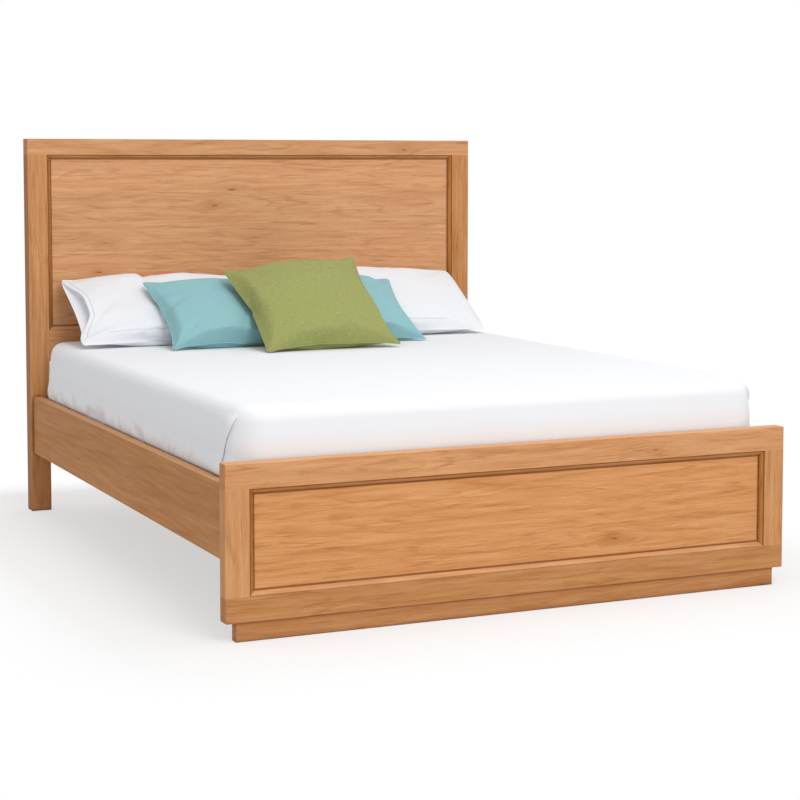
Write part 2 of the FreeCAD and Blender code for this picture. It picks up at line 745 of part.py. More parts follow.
def corner_bracket(label, side, end):
    """A steel angle that bolts a side rail to a post or stile from inside."""
    y = head_inside if end == "head" else foot_inside
    body = new_body(label, y=y, z=bracket_low)

    def along(near, far):
        return (near, far) if end == "foot" else (f"-({far})", f"-({near})")

    height = ("0", "bracket_height")
    plate = mirrored(side, f"({rail_inner} - bracket_thickness)", rail_inner)
    add_block(body, plate, along("0", "bracket_rail_leg"), height)
    wing = mirrored(side, f"({rail_inner} - bracket_post_leg)", rail_inner)
    add_block(body, wing, along("0", "bracket_thickness"), height)
    inner_face, way = (plate[0], "+x") if side == RIGHT else (plate[1], "-x")
    spot = along("bolt_rail_setback", "0")[0] if end == "foot" else along("0", "bolt_rail_setback")[0]
    bore(body, way, inner_face, [(spot, z) for z in bolt_heights], bolt_bore, "bracket_thickness")
    spot = mirrored(side, "0", f"{rail_inner} - bolt_post_setback")[side == RIGHT]
    face, way = ("bracket_thickness", "-y") if end == "foot" else ("-bracket_thickness", "+y")
    bore(body, way, face, [(spot, z) for z in bolt_heights], bolt_bore, "bracket_thickness")


def fastener(diameter, length, head_diameter, head_height):
    """A fastener turned about Z, its shank down from the origin and its head above it."""
    shank, head = value(diameter) / 2, value(head_diameter) / 2
    tall, deep = value(head_height), value(length)
    outline = [(0, -deep), (shank, -deep), (shank, 0), (head, 0), (head, tall * 0.6), (head * 0.7, tall), (0, tall)]
    wire = Part.makePolygon([Vector(x, 0, z) for x, z in outline + outline[:1]])
    return Part.Face(wire).revolve(Vector(0, 0, 0), Vector(0, 0, 1), 360)


def driven(shape, spot, way):
    """A copy of the fastener with its head's seat at a spot, driven in a direction."""
    turned = Rotation(Vector(0, 0, -1), Vector(*way))
    copy = shape.copy()
    copy.Placement = FreeCAD.Placement(Vector(*map(value, spot)), turned)
    return copy


def bracket_bolts():
    """The bolts of the four corner brackets."""
    bolt = fastener("bolt_diameter", "bracket_thickness + bolt_grip", "bolt_head_diameter", "bolt_head_height")
    made = []
    for side in (LEFT, RIGHT):
        plate = f"{side} * ({rail_inner} - bracket_thickness)"
        wing = f"{side} * ({rail_inner} - bolt_post_setback)"
        for inside, sign in ((foot_inside, 1), (head_inside, -1)):
            for height in bolt_heights:
                z = f"{bracket_low} + {height}"
                made.append(driven(bolt, (plate, f"{inside} + {sign} * bolt_rail_setback", z), (side, 0, 0)))
                made.append(driven(bolt, (wing, f"{inside} + {sign} * bracket_thickness", z), (0, -sign, 0)))
    solids("bracket_bolts", made)


def frame_screws():
    """The screws of the ledgers, the stretcher and the beam's hangers."""
    head = ("screw_head_diameter", "screw_head_height")
    made = []
    through = fastener("screw_diameter", "ledger_thickness - screw_head_height + screw_grip", *head)
    for side in (LEFT, RIGHT):
        x = f"{side} * ({rail_inner} - ledger_thickness + screw_head_height)"
        for y in ledger_screw_places:
            spot = (x, f"{foot_inside} + {ledger_start} + {y}", f"{ledger_low} + ledger_height / 2")
            made.append(driven(through, spot, (side, 0, 0)))
    short = fastener("screw_diameter", "stretcher_thickness - screw_head_height + screw_short", *head)
    for x in both_sides([stretcher_screw_x]):
        for height in stretcher_screw_heights:
            made.append(driven(short, (x, f"{beam_foot} - screw_head_height", f"{beam_low} + {height}"), (0, -1, 0)))
    plate = fastener("screw_diameter", "hanger_thickness + screw_grip", *head)
    for y, way in ((f"{beam_foot} + hanger_thickness", -1), (f"{head_inside} - hanger_thickness", 1)):
        for x, z in hanger_screws():
            made.append(driven(plate, (x, y, f"{beam_low} - hanger_thickness + {z}"), (0, way, 0)))
    solids("frame_screws", made)


def slat_screws():
    """A screw at each end of every slat, sunk below its top."""
    length = "slat_thickness - screw_head_height + screw_grip"
    screw = fastener("screw_diameter", length, "screw_head_diameter", "screw_head_height")
    made = []
    for number in range(SLAT_COUNT):
        y = f"{foot_inside} + slat_margin + {number} * {slat_step} + slat_width / 2"
        for x in both_sides([slat_screw_x]):
            made.append(driven(screw, (x, y, f"{slat_top} - screw_head_height"), (0, 0, -1)))
    solids("slat_screws", made)


# Mattress, sheet, pillows and cushions
mattress_middle = f"(({foot_inside} + {head_inside}) / 2)"


def soft_block(label, margin, low, high):
    """A block with rounded upright corners and a rounded top edge, a margin larger than the mattress."""
    body = new_body(label, y=mattress_middle, z=low)
    across, along = f"(mattress_width / 2 + {margin})", f"(mattress_length / 2 + {margin})"
    add_block(body, (f"-{across}", across), (f"-{along}", along), ("0", f"{high} - {low}"))
    ease(body, ["x-y-", "x-y+", "x+y-", "x+y+"], size=f"mattress_corner_radius + {margin}")
    return body


def rim(body, at_top):
    """The names of the edges round the body's top or bottom."""
    doc.recompute()
    shape = body.Tip.Shape
    level = shape.BoundBox.ZMax if at_top else shape.BoundBox.ZMin
    names = []
    for number, edge in enumerate(shape.Edges, start=1):
        box = edge.BoundBox
        if abs(box.ZMin - level) < 1e-6 and abs(box.ZMax - level) < 1e-6:
            names.append(f"Edge{number}")
    return names


def round_rim(body, at_top, radius):
    """Rounds the edges round the body's top or bottom."""
    names = rim(body, at_top)
    base = body.Tip
    eased = body.newObject("PartDesign::Fillet", "Rim")
    eased.Base = (base, names)
    eased.setExpression("Radius", sized(radius))


def mattress():
    """The mattress, rounded at its corners and at its top and bottom edges."""
    body = soft_block("mattress", "0", slat_top, f"({slat_top} + mattress_thickness)")
    round_rim(body, True, "mattress_edge_radius")
    round_rim(body, False, "mattress_edge_radius / 2")


def fitted_sheet():
    """The sheet over the mattress's top and sides, open underneath."""
    margin = "(soft_gap + sheet_thickness)"
    body = soft_block("fitted_sheet", margin, f"({slat_top} + sheet_hem_lift)", bed_surface)
    round_rim(body, True, f"mattress_edge_radius + {margin}")
    doc.recompute()
    base = body.Tip
    level = base.Shape.BoundBox.ZMin
    faces = [
        f"Face{number}"
        for number, face in enumerate(base.Shape.Faces, start=1)
        if abs(face.BoundBox.ZMax - level) < 1e-6
    ]
    skin = body.newObject("PartDesign::Thickness", "Skin")
    skin.Base = (base, faces)
    skin.setExpression("Value", sized("sheet_thickness"))
    skin.Reversed = True
    skin.Join = 0


def cushion_form(width, height, front_crown, back_crown, edge, end_draw, low_draw, top_draw):
    """A filled cover lying flat, lower edge along X: crowned on both faces, with its sides drawn in."""
    half = width / 2
    sections = []
    for share in (-1, -0.72, -0.36, 0, 0.36, 0.72, 1):
        swell = max(1 - share * share, 0.03)
        low = low_draw * (1 - share * share)
        high = height - top_draw * (1 - share * share)
        middle = (low + high) / 2
        x = share * half
        back_low, back_high = Vector(x, low, -edge / 2), Vector(x, high, -edge / 2)
        front_low, front_high = Vector(x, low, edge / 2), Vector(x, high, edge / 2)
        back_arc = Part.Arc(back_low, Vector(x, middle, -edge / 2 - back_crown * swell), back_high)
        front_arc = Part.Arc(front_high, Vector(x, middle, edge / 2 + front_crown * swell), front_low)
        sections.append(
            Part.Wire(
                [
                    back_arc.toShape(),
                    Part.makeLine(back_high, front_high),
                    front_arc.toShape(),
                    Part.makeLine(front_low, back_low),
                ]
            )
        )
    form = Part.makeLoft(sections, True, False)
    radius = ((height / 2) ** 2 + end_draw**2) / (2 * end_draw)
    reach = 2 * (front_crown + back_crown + edge)
    for side in (LEFT, RIGHT):
        middle = Vector(side * (half - end_draw + radius), height / 2, -reach)
        form = form.cut(Part.makeCylinder(radius, 2 * reach, middle))
    return form.Solids[0]


def lean(label, form, x, y, turn="0"):
    """Leans the cushion back with its lower edge on the bed and its seam meeting the bed at y."""
    piece = doc.addObject("Part::Feature", label)
    piece.Label = label
    piece.Shape = form
    tilt = Rotation(Vector(1, 0, 0), value("lean_angle")).multiply(Rotation(Vector(0, 0, 1), value(turn)))
    piece.Placement = FreeCAD.Placement(Vector(0, 0, 0), tilt)
    low = piece.Shape.optimalBoundingBox(False).ZMin
    height = value(bed_surface) + value("soft_gap") - low
    piece.Placement = FreeCAD.Placement(Vector(value(x), y, height), tilt)
    subparts.append(piece)
    return piece


def bedding():
    """Two pillows against the headboard, a cushion on each and the accent cushion over both."""
    pillow = cushion_form(
        *(
            value(size)
            for size in (
                "pillow_width",
                "pillow_height",
                "pillow_front",
                "pillow_back",
                "pillow_edge",
                "pillow_end_draw",
                "pillow_low_draw",
                "-pillow_top_rise",
            )
        )
    )
    slope = math.radians(value("lean_angle"))
    reach = value("(pillow_height + pillow_top_rise)") * math.cos(slope)
    reach += value("pillow_edge") / 2 * math.sin(slope)
    pillow_y = value(head_inside) - value("soft_gap") - reach
    lean("left_pillow", pillow, "-pillow_centre", pillow_y)
    lean("right_pillow", pillow, "pillow_centre", pillow_y)
    cushion_sizes = ("width", "height", "front", "back", "edge", "draw", "draw", "draw")
    cushion = cushion_form(*(value(f"cushion_{size}") for size in cushion_sizes))
    layer = value("pillow_front + cushion_back + (pillow_edge + cushion_edge) / 2 + layer_gap")
    cushion_y = pillow_y - layer / math.sin(slope)
    lean("left_cushion", cushion, "-left_cushion_centre", cushion_y)
    lean("right_cushion", cushion, "right_cushion_centre", cushion_y)
    accent = cushion_form(*(value(f"accent_{size}") for size in cushion_sizes))
    layer = value("cushion_front + accent_back + (cushion_edge + accent_edge) / 2 + layer_gap")
    lean("accent_cushion", accent, "accent_centre", cushion_y - layer / math.sin(slope), "accent_turn")


def build():
    """Makes every sub-part, from the floor up."""
    headboard_post("headboard_left_post", LEFT)
    headboard_post("headboard_right_post", RIGHT)
    headboard_top_rail()
    headboard_rails()
    head = (head_opening, "head_opening_low", head_opening_high)
    fielded_panel("headboard_panel", *head, "head_panel_thickness", "head_panel_recess", head_inside)
    mouldings("headboard", *head, "head_panel_recess", head_inside)
    footboard_stile("footboard_left_stile", LEFT)
    footboard_stile("footboard_right_stile", RIGHT)
    footboard_rails()
    foot = (foot_opening, foot_opening_low, foot_opening_high)
    fielded_panel("footboard_panel", *foot, "foot_panel_thickness", "foot_panel_recess", front)
    mouldings("footboard", *foot, "foot_panel_recess", front)
    plinth()
    dowel_pins()
    for name, side in (("left", LEFT), ("right", RIGHT)):
        side_rail(f"{name}_side_rail", side)
        slat_ledger(f"{name}_slat_ledger", side)
        for end in ("head", "foot"):
            corner_bracket(f"{end}_{name}_bracket", side, end)
    stretcher()
    centre_beam()
    beam_hanger("foot_beam_hanger", beam_foot, "+y")
    beam_hanger("head_beam_hanger", head_inside, "-y")
    for label, y in leg_places.items():
        centre_leg(label, y)
        levelling_foot(label.replace("centre_leg", "levelling_foot"), y)
    for number in range(SLAT_COUNT):
        slat(number)
    bracket_bolts()
    frame_screws()
    slat_screws()
    mattress()
    fitted_sheet()
    bedding()


def check():
    """Stops if an object failed, a cut removed nothing or a sub-part isn't a sound solid."""
    for item in doc.Objects:
        if "Invalid" in item.State or "Error" in item.State:
            raise RuntimeError(f"{item.Label} failed: {item.State}")
        if item.TypeId == "PartDesign::Pocket" and item.Shape.Volume >= item.BaseFeature.Shape.Volume:
            raise RuntimeError(f"{item.Label} cuts nothing")
    for piece in subparts:
        if piece.Shape.isNull() or not piece.Shape.isValid():
            raise RuntimeError(f"{piece.Label} has no sound shape")


build()
doc.recompute()
check()
os.makedirs("parts", exist_ok=True)
for piece in subparts:
    piece.Shape.exportStep(f"parts/{piece.Label}.step")
print(len(subparts), "sub-parts written")
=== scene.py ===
"""Looks of the wooden bed: oiled timber, steel fittings, mattress, sheet, pillows and cushions."""

import math
import random

import bpy
import numpy as np
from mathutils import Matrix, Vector, noise


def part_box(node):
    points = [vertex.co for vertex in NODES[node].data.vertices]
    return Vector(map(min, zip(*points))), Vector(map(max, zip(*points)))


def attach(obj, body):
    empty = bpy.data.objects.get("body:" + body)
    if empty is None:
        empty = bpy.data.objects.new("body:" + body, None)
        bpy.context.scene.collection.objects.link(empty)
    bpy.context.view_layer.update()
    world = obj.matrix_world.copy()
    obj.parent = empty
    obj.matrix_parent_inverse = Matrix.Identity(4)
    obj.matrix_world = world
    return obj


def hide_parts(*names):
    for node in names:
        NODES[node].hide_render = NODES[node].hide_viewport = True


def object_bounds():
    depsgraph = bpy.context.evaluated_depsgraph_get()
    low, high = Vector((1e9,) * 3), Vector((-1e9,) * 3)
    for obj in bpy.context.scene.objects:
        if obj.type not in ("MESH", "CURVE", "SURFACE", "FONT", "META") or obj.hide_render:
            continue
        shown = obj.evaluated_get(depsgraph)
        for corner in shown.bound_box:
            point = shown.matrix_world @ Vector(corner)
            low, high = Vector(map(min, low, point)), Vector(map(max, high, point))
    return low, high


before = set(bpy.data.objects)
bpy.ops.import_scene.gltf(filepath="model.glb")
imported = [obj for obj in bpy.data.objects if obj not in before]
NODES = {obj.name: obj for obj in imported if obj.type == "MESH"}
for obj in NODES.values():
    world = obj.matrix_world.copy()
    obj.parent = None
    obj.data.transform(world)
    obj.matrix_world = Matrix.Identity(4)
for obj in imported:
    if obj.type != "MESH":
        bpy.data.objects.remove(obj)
CAD_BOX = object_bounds()

bl_info = {
    "name": "Wooden bed",
    "version": (1, 0, 0),
    "blender": (4, 5, 0),
    "location": "3D View > Sidebar > Bed",
    "description": "Dresses a panelled wooden bed with its timber, fittings and bedding",
    "category": "Object",
}

MM = 0.001
TURN = 2 * math.pi
BED_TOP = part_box("fitted_sheet")[1].z
HEAD_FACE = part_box("headboard_middle_rail")[0].y
RAIL_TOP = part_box("left_side_rail")[1].z
EASED_EDGE = 0.8 * MM
WELD_GAP = 0.02 * MM
# Filled covers: spacing of points, frames of simulation, and the lip's thickness
CLOTH_STEP = 10 * MM
FILL_FRAMES = 30
LIP_THICKNESS = 1.6 * MM

# Which way the grain runs in each piece of the visible timber
GRAIN = {
    "X": [
        "headboard_top_rail", "headboard_middle_rail", "headboard_lower_rail",
        "headboard_moulding_top", "headboard_moulding_bottom",
        "footboard_top_rail", "footboard_bottom_rail",
        "footboard_moulding_top", "footboard_moulding_bottom", "plinth",
    ],
    "Z": [
        "headboard_left_post", "headboard_right_post",
        "headboard_moulding_left", "headboard_moulding_right",
        "footboard_left_stile", "footboard_right_stile",
        "footboard_moulding_left", "footboard_moulding_right",
    ],
}
GLUED = {"X": ["headboard_panel", "footboard_panel"], "Y": ["left_side_rail", "right_side_rail"]}
INNER_GRAIN = {
    "X": ["footboard_stretcher"] + [f"slat_{number:02d}" for number in range(1, 13)],
    "Y": ["left_slat_ledger", "right_slat_ledger", "centre_beam"],
    "Z": ["front_centre_leg", "rear_centre_leg", "dowels"],
}
STEEL = [
    "head_left_bracket", "head_right_bracket", "foot_left_bracket", "foot_right_bracket",
    "head_beam_hanger", "foot_beam_hanger", "bracket_bolts", "frame_screws", "slat_screws",
    "front_levelling_foot", "rear_levelling_foot",
]
# How light a piece is, where that isn't 1: partly the timber's own tone, partly painted shade where less
# light falls, as on the side rails, plinth, footboard's bottom rail and the mouldings
TONES_AND_SHADES = {
    "left_side_rail": 0.8,
    "right_side_rail": 0.8,
    "footboard_panel": 1.05,
    "plinth": 0.76,
    "headboard_left_post": 0.92,
    "headboard_right_post": 0.87,
    "headboard_top_rail": 0.93,
    "footboard_top_rail": 0.985,
    "footboard_left_stile": 0.965,
    "footboard_right_stile": 0.92,
    "footboard_bottom_rail": 0.785,
}
# The mouldings' left, right and top sides are darker: painted shade on their slopes
TONES_AND_SHADES |= {
    f"{board}_moulding_{side}": tone
    for board in ("headboard", "footboard")
    for side, tone in (("left", 0.66), ("right", 0.72), ("top", 0.85))
}
# How rich the colour is where that doesn't follow from the tone and painted shade
RICHES = {
    "headboard_panel": 0.97,
    "headboard_top_rail": 0.98,
    "footboard_panel": 1.05,
    "footboard_bottom_rail": 1.06,
    "plinth": 1.06,
}
# On which side of a moulding its frame lies, along the axis across its grain, where a shadow line is painted
FRAME_SIDES = {"left": -1.0, "right": 1.0, "top": 1.0}
# Painted shade on the left and right faces of the posts: how dark they are
EDGE_SHADES = {"headboard_left_post": 0.5, "headboard_right_post": 0.5}
# Places for a knot in each metre along and across the grain
KNOT_PLACES = (2.2, 8.5, 1.0)
# A face counts as turned to an axis from the first share of its normal on, and fully from the second
TURNED = (0.75, 0.95)
# What a filled cover's form leaves plain
PLAIN_FORM = {"skew": 0.0, "twist": 0.0, "round": 0.0}


def linear(code):
    """An sRGB hex value as linear red, green, blue and alpha."""
    shares = [int(code[at : at + 2], 16) / 255 for at in (1, 3, 5)]
    return [c / 12.92 if c <= 0.04045 else ((c + 0.055) / 1.055) ** 2.4 for c in shares] + [1.0]


def add_node(tree, kind, inputs=(), **settings):
    """Adds a shader node with its settings and returns its outputs.

    Inputs are listed in order or by name. Each gets a value, or the socket that feeds it."""
    made = tree.nodes.new("ShaderNode" + kind)
    for name, setting in settings.items():
        setattr(made, name, setting)
    for key, given in inputs.items() if isinstance(inputs, dict) else enumerate(inputs):
        if isinstance(given, bpy.types.NodeSocket):
            tree.links.new(given, made.inputs[key])
        else:
            made.inputs[key].default_value = given
    return made.outputs


def new_material(name):
    """An empty material and its node tree."""
    material = bpy.data.materials.new(name)
    material.use_nodes = True
    material.node_tree.nodes.clear()
    return material, material.node_tree


def colour_property(name, description, code):
    """A colour that a user can change, given as an sRGB hex value."""
    return bpy.props.FloatVectorProperty(
        name=name, description=description, subtype="COLOR", size=4, min=0, max=1, default=linear(code)
    )


def length_property(name, description, millimetres):
    """A length that a user can change, given in millimetres and kept in metres."""
    return bpy.props.FloatProperty(
        name=name, description=description, default=millimetres * MM, min=0, unit="LENGTH", precision=4
    )


def share_property(name, description, share):
    """A share between 0 and 1 that a user can change."""
    return bpy.props.FloatProperty(
        name=name, description=description, default=share, min=0, max=1, subtype="FACTOR"
    )


class BedTimberSettings(bpy.types.PropertyGroup):
    light: colour_property("Light wood", "Pale early wood between the rings", "#DCA677")
    middle: colour_property("Middle wood", "The timber's usual tone", "#CA8D5D")
    dark: colour_property("Dark wood", "Late wood that draws the rings", "#AF7244")
    pore: colour_property("Pores and knots", "Dark pores, checks and small knots", "#7A4421")
    ring: length_property("Ring width", "Width of one year's growth on the face", 11)
    contrast: share_property("Ring contrast", "How strongly the late wood shows", 0.4)
    knots: share_property("Knots", "Share of the places for a knot that have one", 0.15)
    stave: length_property("Stave width", "Width of the boards glued up into a panel", 104)


class BedInnerSettings(bpy.types.PropertyGroup):
    light: colour_property("Light wood", "Pale early wood of the base timbers", "#E3C79A")
    middle: colour_property("Middle wood", "Usual tone of the base timbers", "#D9B884")
    dark: colour_property("Dark wood", "Late wood of the base timbers", "#BE9558")
    pore: colour_property("Knots", "Knots of the base timbers", "#7F5530")
    ring: length_property("Ring width", "Width of one year's growth on the face", 7)
    contrast: share_property("Ring contrast", "How strongly the late wood shows", 1.0)
    knots: share_property("Knots", "Share of the places for a knot that have one", 0.4)
    steel: colour_property("Zinc plate", "Plated steel of brackets, hangers, bolts and screws", "#B9BDC0")


class BedLinenSettings(bpy.types.PropertyGroup):
    white: colour_property("White cotton", "The fitted sheet", "#F0F2F6")
    case: colour_property("Pillowcase cotton", "The two pillowcases", "#E9EBEF")
    ticking: colour_property("Ticking", "Cover of the mattress", "#E6E3DB")
    thread: length_property("Thread spacing", "Drawn coarser than percale so that it shows", 0.9)


class BedCushionSettings(bpy.types.PropertyGroup):
    aqua: colour_property("Aqua cotton", "The two smaller cushions", "#90BEC3")
    green: colour_property("Green linen", "The accent cushion", "#989C5E")
    thread: length_property("Thread spacing", "Drawn coarser than linen so that it shows", 2.2)
    lip: length_property("Seam lip", "Flat edge outside the cushions' seams", 6)
    lean: bpy.props.FloatProperty(
        name="Lean", description="Angle of pillows and cushions to the bed", subtype="ANGLE",
        default=math.radians(31),
    )


class BedStageSettings(bpy.types.PropertyGroup):
    floor: colour_property("Floor", "Plain pale studio floor", "#F1F1F1")
    lens: bpy.props.FloatProperty(
        name="Lens", description="Focal length of the camera", default=86.65, min=1, unit="CAMERA"
    )
    sky: bpy.props.FloatProperty(
        name="Sky", description="Strength of the even light from all round", default=0.68, min=0
    )
    top_light: bpy.props.FloatProperty(
        name="Top light", description="Power of the softbox above the bed", default=36, min=0, unit="POWER"
    )
    front_light: bpy.props.FloatProperty(
        name="Front light", description="Power of the softbox in front of the bed", default=122, min=0,
        unit="POWER",
    )


def timber_material(name, along, wood, stave=None, shine=0.42, figure=1.0):
    """Timber sawn along the log, planed and oiled: long streaks of fibre, faint rings, pores and small knots.

    The rings lie round a pith behind the board that wanders along the grain, as in a real log, so a face
    shows long arches and an end shows arcs. A panel is glued up from staves, each from another log. A figure
    below 1 is plainer timber."""
    material, tree = new_material(name)
    place = add_node(tree, "TexCoord")["Object"]
    own = {}
    for fact in ("grain_centre", "grain_seed", "grain_tone_and_shade", "grain_rich", "frame_side", "edge_shade"):
        own[fact] = add_node(tree, "Attribute", attribute_type="OBJECT", attribute_name=fact)
    seed, centre = own["grain_seed"]["Fac"], own["grain_centre"]["Vector"]
    local = add_node(tree, "VectorMath", [place, centre], operation="SUBTRACT")[0]
    axes = add_node(tree, "SeparateXYZ", [local])
    run, across, depth = (axes[axis] for axis in {"X": "XZY", "Y": "YZX", "Z": "ZXY"}[along])
    index = 0.0
    if stave:
        index = add_node(tree, "Math", [across, stave], operation="DIVIDE")[0]
        index = add_node(tree, "Math", [index, 0.3], operation="ADD")[0]
        cell = add_node(tree, "Math", [index], operation="FRACT")[0]
        index = add_node(tree, "Math", [index], operation="FLOOR")[0]
        across = add_node(tree, "Math", [cell, 0.5], operation="SUBTRACT")[0]
        across = add_node(tree, "Math", [across, stave], operation="MULTIPLY")[0]
    near = add_node(tree, "Math", [across, own["frame_side"]["Fac"]], operation="MULTIPLY")[0]
    dice = add_node(tree, "CombineXYZ", {"X": index, "Y": seed})[0]
    dice = add_node(tree, "TexWhiteNoise", {"Vector": dice}, noise_dimensions="2D")["Color"]
    dice = add_node(tree, "SeparateXYZ", [dice])
    run = add_node(tree, "Math", [dice[0], 9.0, run], operation="MULTIPLY_ADD")[0]

    # Some of the places for a knot have one, and the grain flows round it
    cells = add_node(tree, "CombineXYZ", {"X": run, "Y": across})[0]
    cells = add_node(tree, "VectorMath", [cells, KNOT_PLACES], operation="MULTIPLY")[0]
    cells = add_node(tree, "VectorMath", [cells, own["grain_seed"]["Vector"]], operation="ADD")[0]
    knots = add_node(tree, "TexVoronoi", {"Vector": cells, "Scale": 1.0}, voronoi_dimensions="2D")
    chance = add_node(tree, "SeparateXYZ", [knots["Color"]])[0]
    chance = add_node(tree, "Math", [chance, wood.knots * figure**3], operation="LESS_THAN")[0]
    flow = add_node(
        tree, "MapRange", [knots["Distance"], 0.42, 0.0, 0.0, 0.85], interpolation_type="SMOOTHERSTEP"
    )[0]
    flow = add_node(tree, "Math", [flow, chance], operation="MULTIPLY")[0]
    off = add_node(tree, "VectorMath", [knots["Position"], cells], operation="SUBTRACT")[0]
    off = add_node(tree, "SeparateXYZ", [off])[1]
    off = add_node(tree, "Math", [off, flow], operation="MULTIPLY")[0]
    across = add_node(tree, "Math", [off, 1 / KNOT_PLACES[1], across], operation="MULTIPLY_ADD")[0]

    # The pith's wandering along the log: sideways and in depth
    drift = add_node(tree, "TexNoise", {"W": run, "Scale": 0.9, "Detail": 1.5}, noise_dimensions="1D")
    drift = add_node(tree, "SeparateXYZ", [drift["Color"]])
    aside = add_node(tree, "Math", [dice[1], drift[0]], operation="ADD")[0]
    aside = add_node(tree, "Math", [aside, 1.0], operation="SUBTRACT")[0]
    aside = add_node(tree, "Math", [aside, -0.035, across], operation="MULTIPLY_ADD")[0]
    behind = add_node(tree, "Math", [drift[1], 0.1, depth], operation="MULTIPLY_ADD")[0]
    behind = add_node(tree, "Math", [dice[2], 0.1, behind], operation="MULTIPLY_ADD")[0]
    radius = add_node(tree, "CombineXYZ", {"X": aside, "Y": behind})[0]
    radius = add_node(tree, "VectorMath", [radius], operation="LENGTH")["Value"]

    # Along the grain: bands, streaks, fibre, dark checks, pores, where it is busy and how the rings bend
    spread = add_node(tree, "CombineXYZ", {"X": run, "Y": across, "Z": depth})[0]
    layers = []
    for stretch, detail in (
        ((0.9, 15, 15), 2.0),
        ((1.1, 150, 150), 2.0),
        ((8, 210, 210), 2.0),
        ((2.4, 150, 150), 1.0),
        ((60, 210, 210), 0.0),
        ((1.3, 11, 11), 2.0),
        ((0.6, 7, 7), 0.5),
    ):
        lie = add_node(tree, "VectorMath", [spread, stretch], operation="MULTIPLY")[0]
        lie = {"Vector": lie, "W": dice[1], "Detail": detail}
        layers.append(add_node(tree, "TexNoise", lie, noise_dimensions="4D")["Fac"])
    band, streak, fibre, check, pore, busy, bend = layers
    busy = add_node(tree, "MapRange", [busy, 0.42, 0.62, 0.25, 1.0], interpolation_type="SMOOTHSTEP")[0]
    check = add_node(
        tree, "MapRange", [check, 0.6, 0.72, 0.0, 0.66 * figure], interpolation_type="SMOOTHSTEP"
    )[0]
    check = add_node(tree, "Math", [check, busy], operation="MULTIPLY")[0]
    pore = add_node(tree, "MapRange", [pore, 0.74, 0.82, 0.0, 0.6], interpolation_type="SMOOTHSTEP")[0]
    smear = add_node(
        tree, "MapRange", [knots["Distance"], 0.26, 0.0, 0.0, 0.45], interpolation_type="SMOOTHSTEP"
    )[0]
    smear = add_node(tree, "Math", [smear, chance], operation="MULTIPLY")[0]
    core = add_node(tree, "Math", [streak, 0.1, knots["Distance"]], operation="MULTIPLY_ADD")[0]
    core = add_node(tree, "MapRange", [core, 0.085, 0.055, 0.0, 0.7], interpolation_type="SMOOTHSTEP")[0]
    core = add_node(tree, "Math", [core, chance], operation="MULTIPLY")[0]

    # Rings: pale early wood that darkens to a sharp edge of late wood
    rings = add_node(tree, "Math", [radius, wood.ring], operation="DIVIDE")[0]
    rings = add_node(tree, "Math", [bend, 4.0, rings], operation="MULTIPLY_ADD")[0]
    rings = add_node(tree, "Math", [rings], operation="FRACT")[0]
    late = add_node(tree, "ValToRGB", [rings])
    ramp = late[0].node.color_ramp.elements
    ramp[0].color = ramp[1].color = (0.2, 0.2, 0.2, 1)
    for at, tone in ((0.1, 0.0), (0.55, 0.12), (0.84, 1.0), (0.92, 0.9)):
        ramp.new(at).color = (tone, tone, tone, 1)
    late = add_node(tree, "Math", [late[0], busy], operation="MULTIPLY")[0]
    late = add_node(tree, "Math", [late, wood.contrast * figure, smear], operation="MULTIPLY_ADD")[0]

    vivid = add_node(tree, "Math", [streak, 0.5], operation="SUBTRACT")[0]
    vivid = add_node(tree, "Math", [vivid, busy], operation="MULTIPLY")[0]
    tone = add_node(tree, "Math", [vivid, 1.4 * figure, band], operation="MULTIPLY_ADD")[0]
    tone = add_node(tree, "MapRange", [tone, 0.25, 0.72, 0.0, 1.0])[0]
    specks = add_node(tree, "Math", [pore, check], operation="MAXIMUM")[0]
    specks = add_node(tree, "Math", [core, specks], operation="MAXIMUM")[0]
    colour = tuple(wood.light)
    for share, tint in ((tone, wood.middle), (late, wood.dark), (specks, wood.pore)):
        colour = add_node(tree, "Mix", {0: share, 6: colour, 7: tuple(tint)}, data_type="RGBA")[2]
    shade = add_node(tree, "Math", [fibre, 0.4, 0.76], operation="MULTIPLY_ADD")[0]
    shade = add_node(tree, "Math", [dice[2], 0.08, shade], operation="MULTIPLY_ADD")[0]
    # Scaled by each piece's tone, which is partly painted shade
    shade = add_node(tree, "Math", [shade, own["grain_tone_and_shade"]["Fac"]], operation="MULTIPLY")[0]

    # Painted shade: darker in corners and crevices by ambient occlusion, and a painted shadow line on a
    # moulding beside its frame
    hollow = add_node(tree, "AmbientOcclusion", {"Distance": 16 * MM}, samples=8)["AO"]
    hollow = add_node(tree, "MapRange", [hollow, 0.92, 0.4, 0.0, 0.75])[0]
    near = add_node(tree, "MapRange", [near, 1.5 * MM, 4.5 * MM, 0.0, 0.85])[0]
    hollow = add_node(tree, "Math", [near, hollow], operation="MAXIMUM")[0]
    rich = own["grain_rich"]["Fac"]
    colour = add_node(tree, "HueSaturation", {"Color": colour, "Value": shade, "Saturation": rich})[0]
    end_grain_and_painted_light = [(hollow, wood.pore)]

    # Sawn ends drink more oil and show darker; the posts' left and right faces get painted shade, and faces
    # turned up a painted highlight
    normal = add_node(tree, "NewGeometry")["Normal"]
    facing = add_node(tree, "SeparateXYZ", [normal])
    for axis, most, tint in ((along, 0.5, wood.dark), ("X", own["edge_shade"]["Fac"], wood.pore)):
        turned = add_node(tree, "Math", [facing[axis]], operation="ABSOLUTE")[0]
        end_grain_and_painted_light.append((add_node(tree, "MapRange", [turned, *TURNED, 0.0, most])[0], tint))
    end_grain_and_painted_light.append((add_node(tree, "MapRange", [facing["Z"], *TURNED, 0.0, 0.6])[0], wood.light))
    for share, tint in end_grain_and_painted_light:
        colour = add_node(tree, "Mix", {0: share, 6: colour, 7: tuple(tint)}, data_type="RGBA")[2]

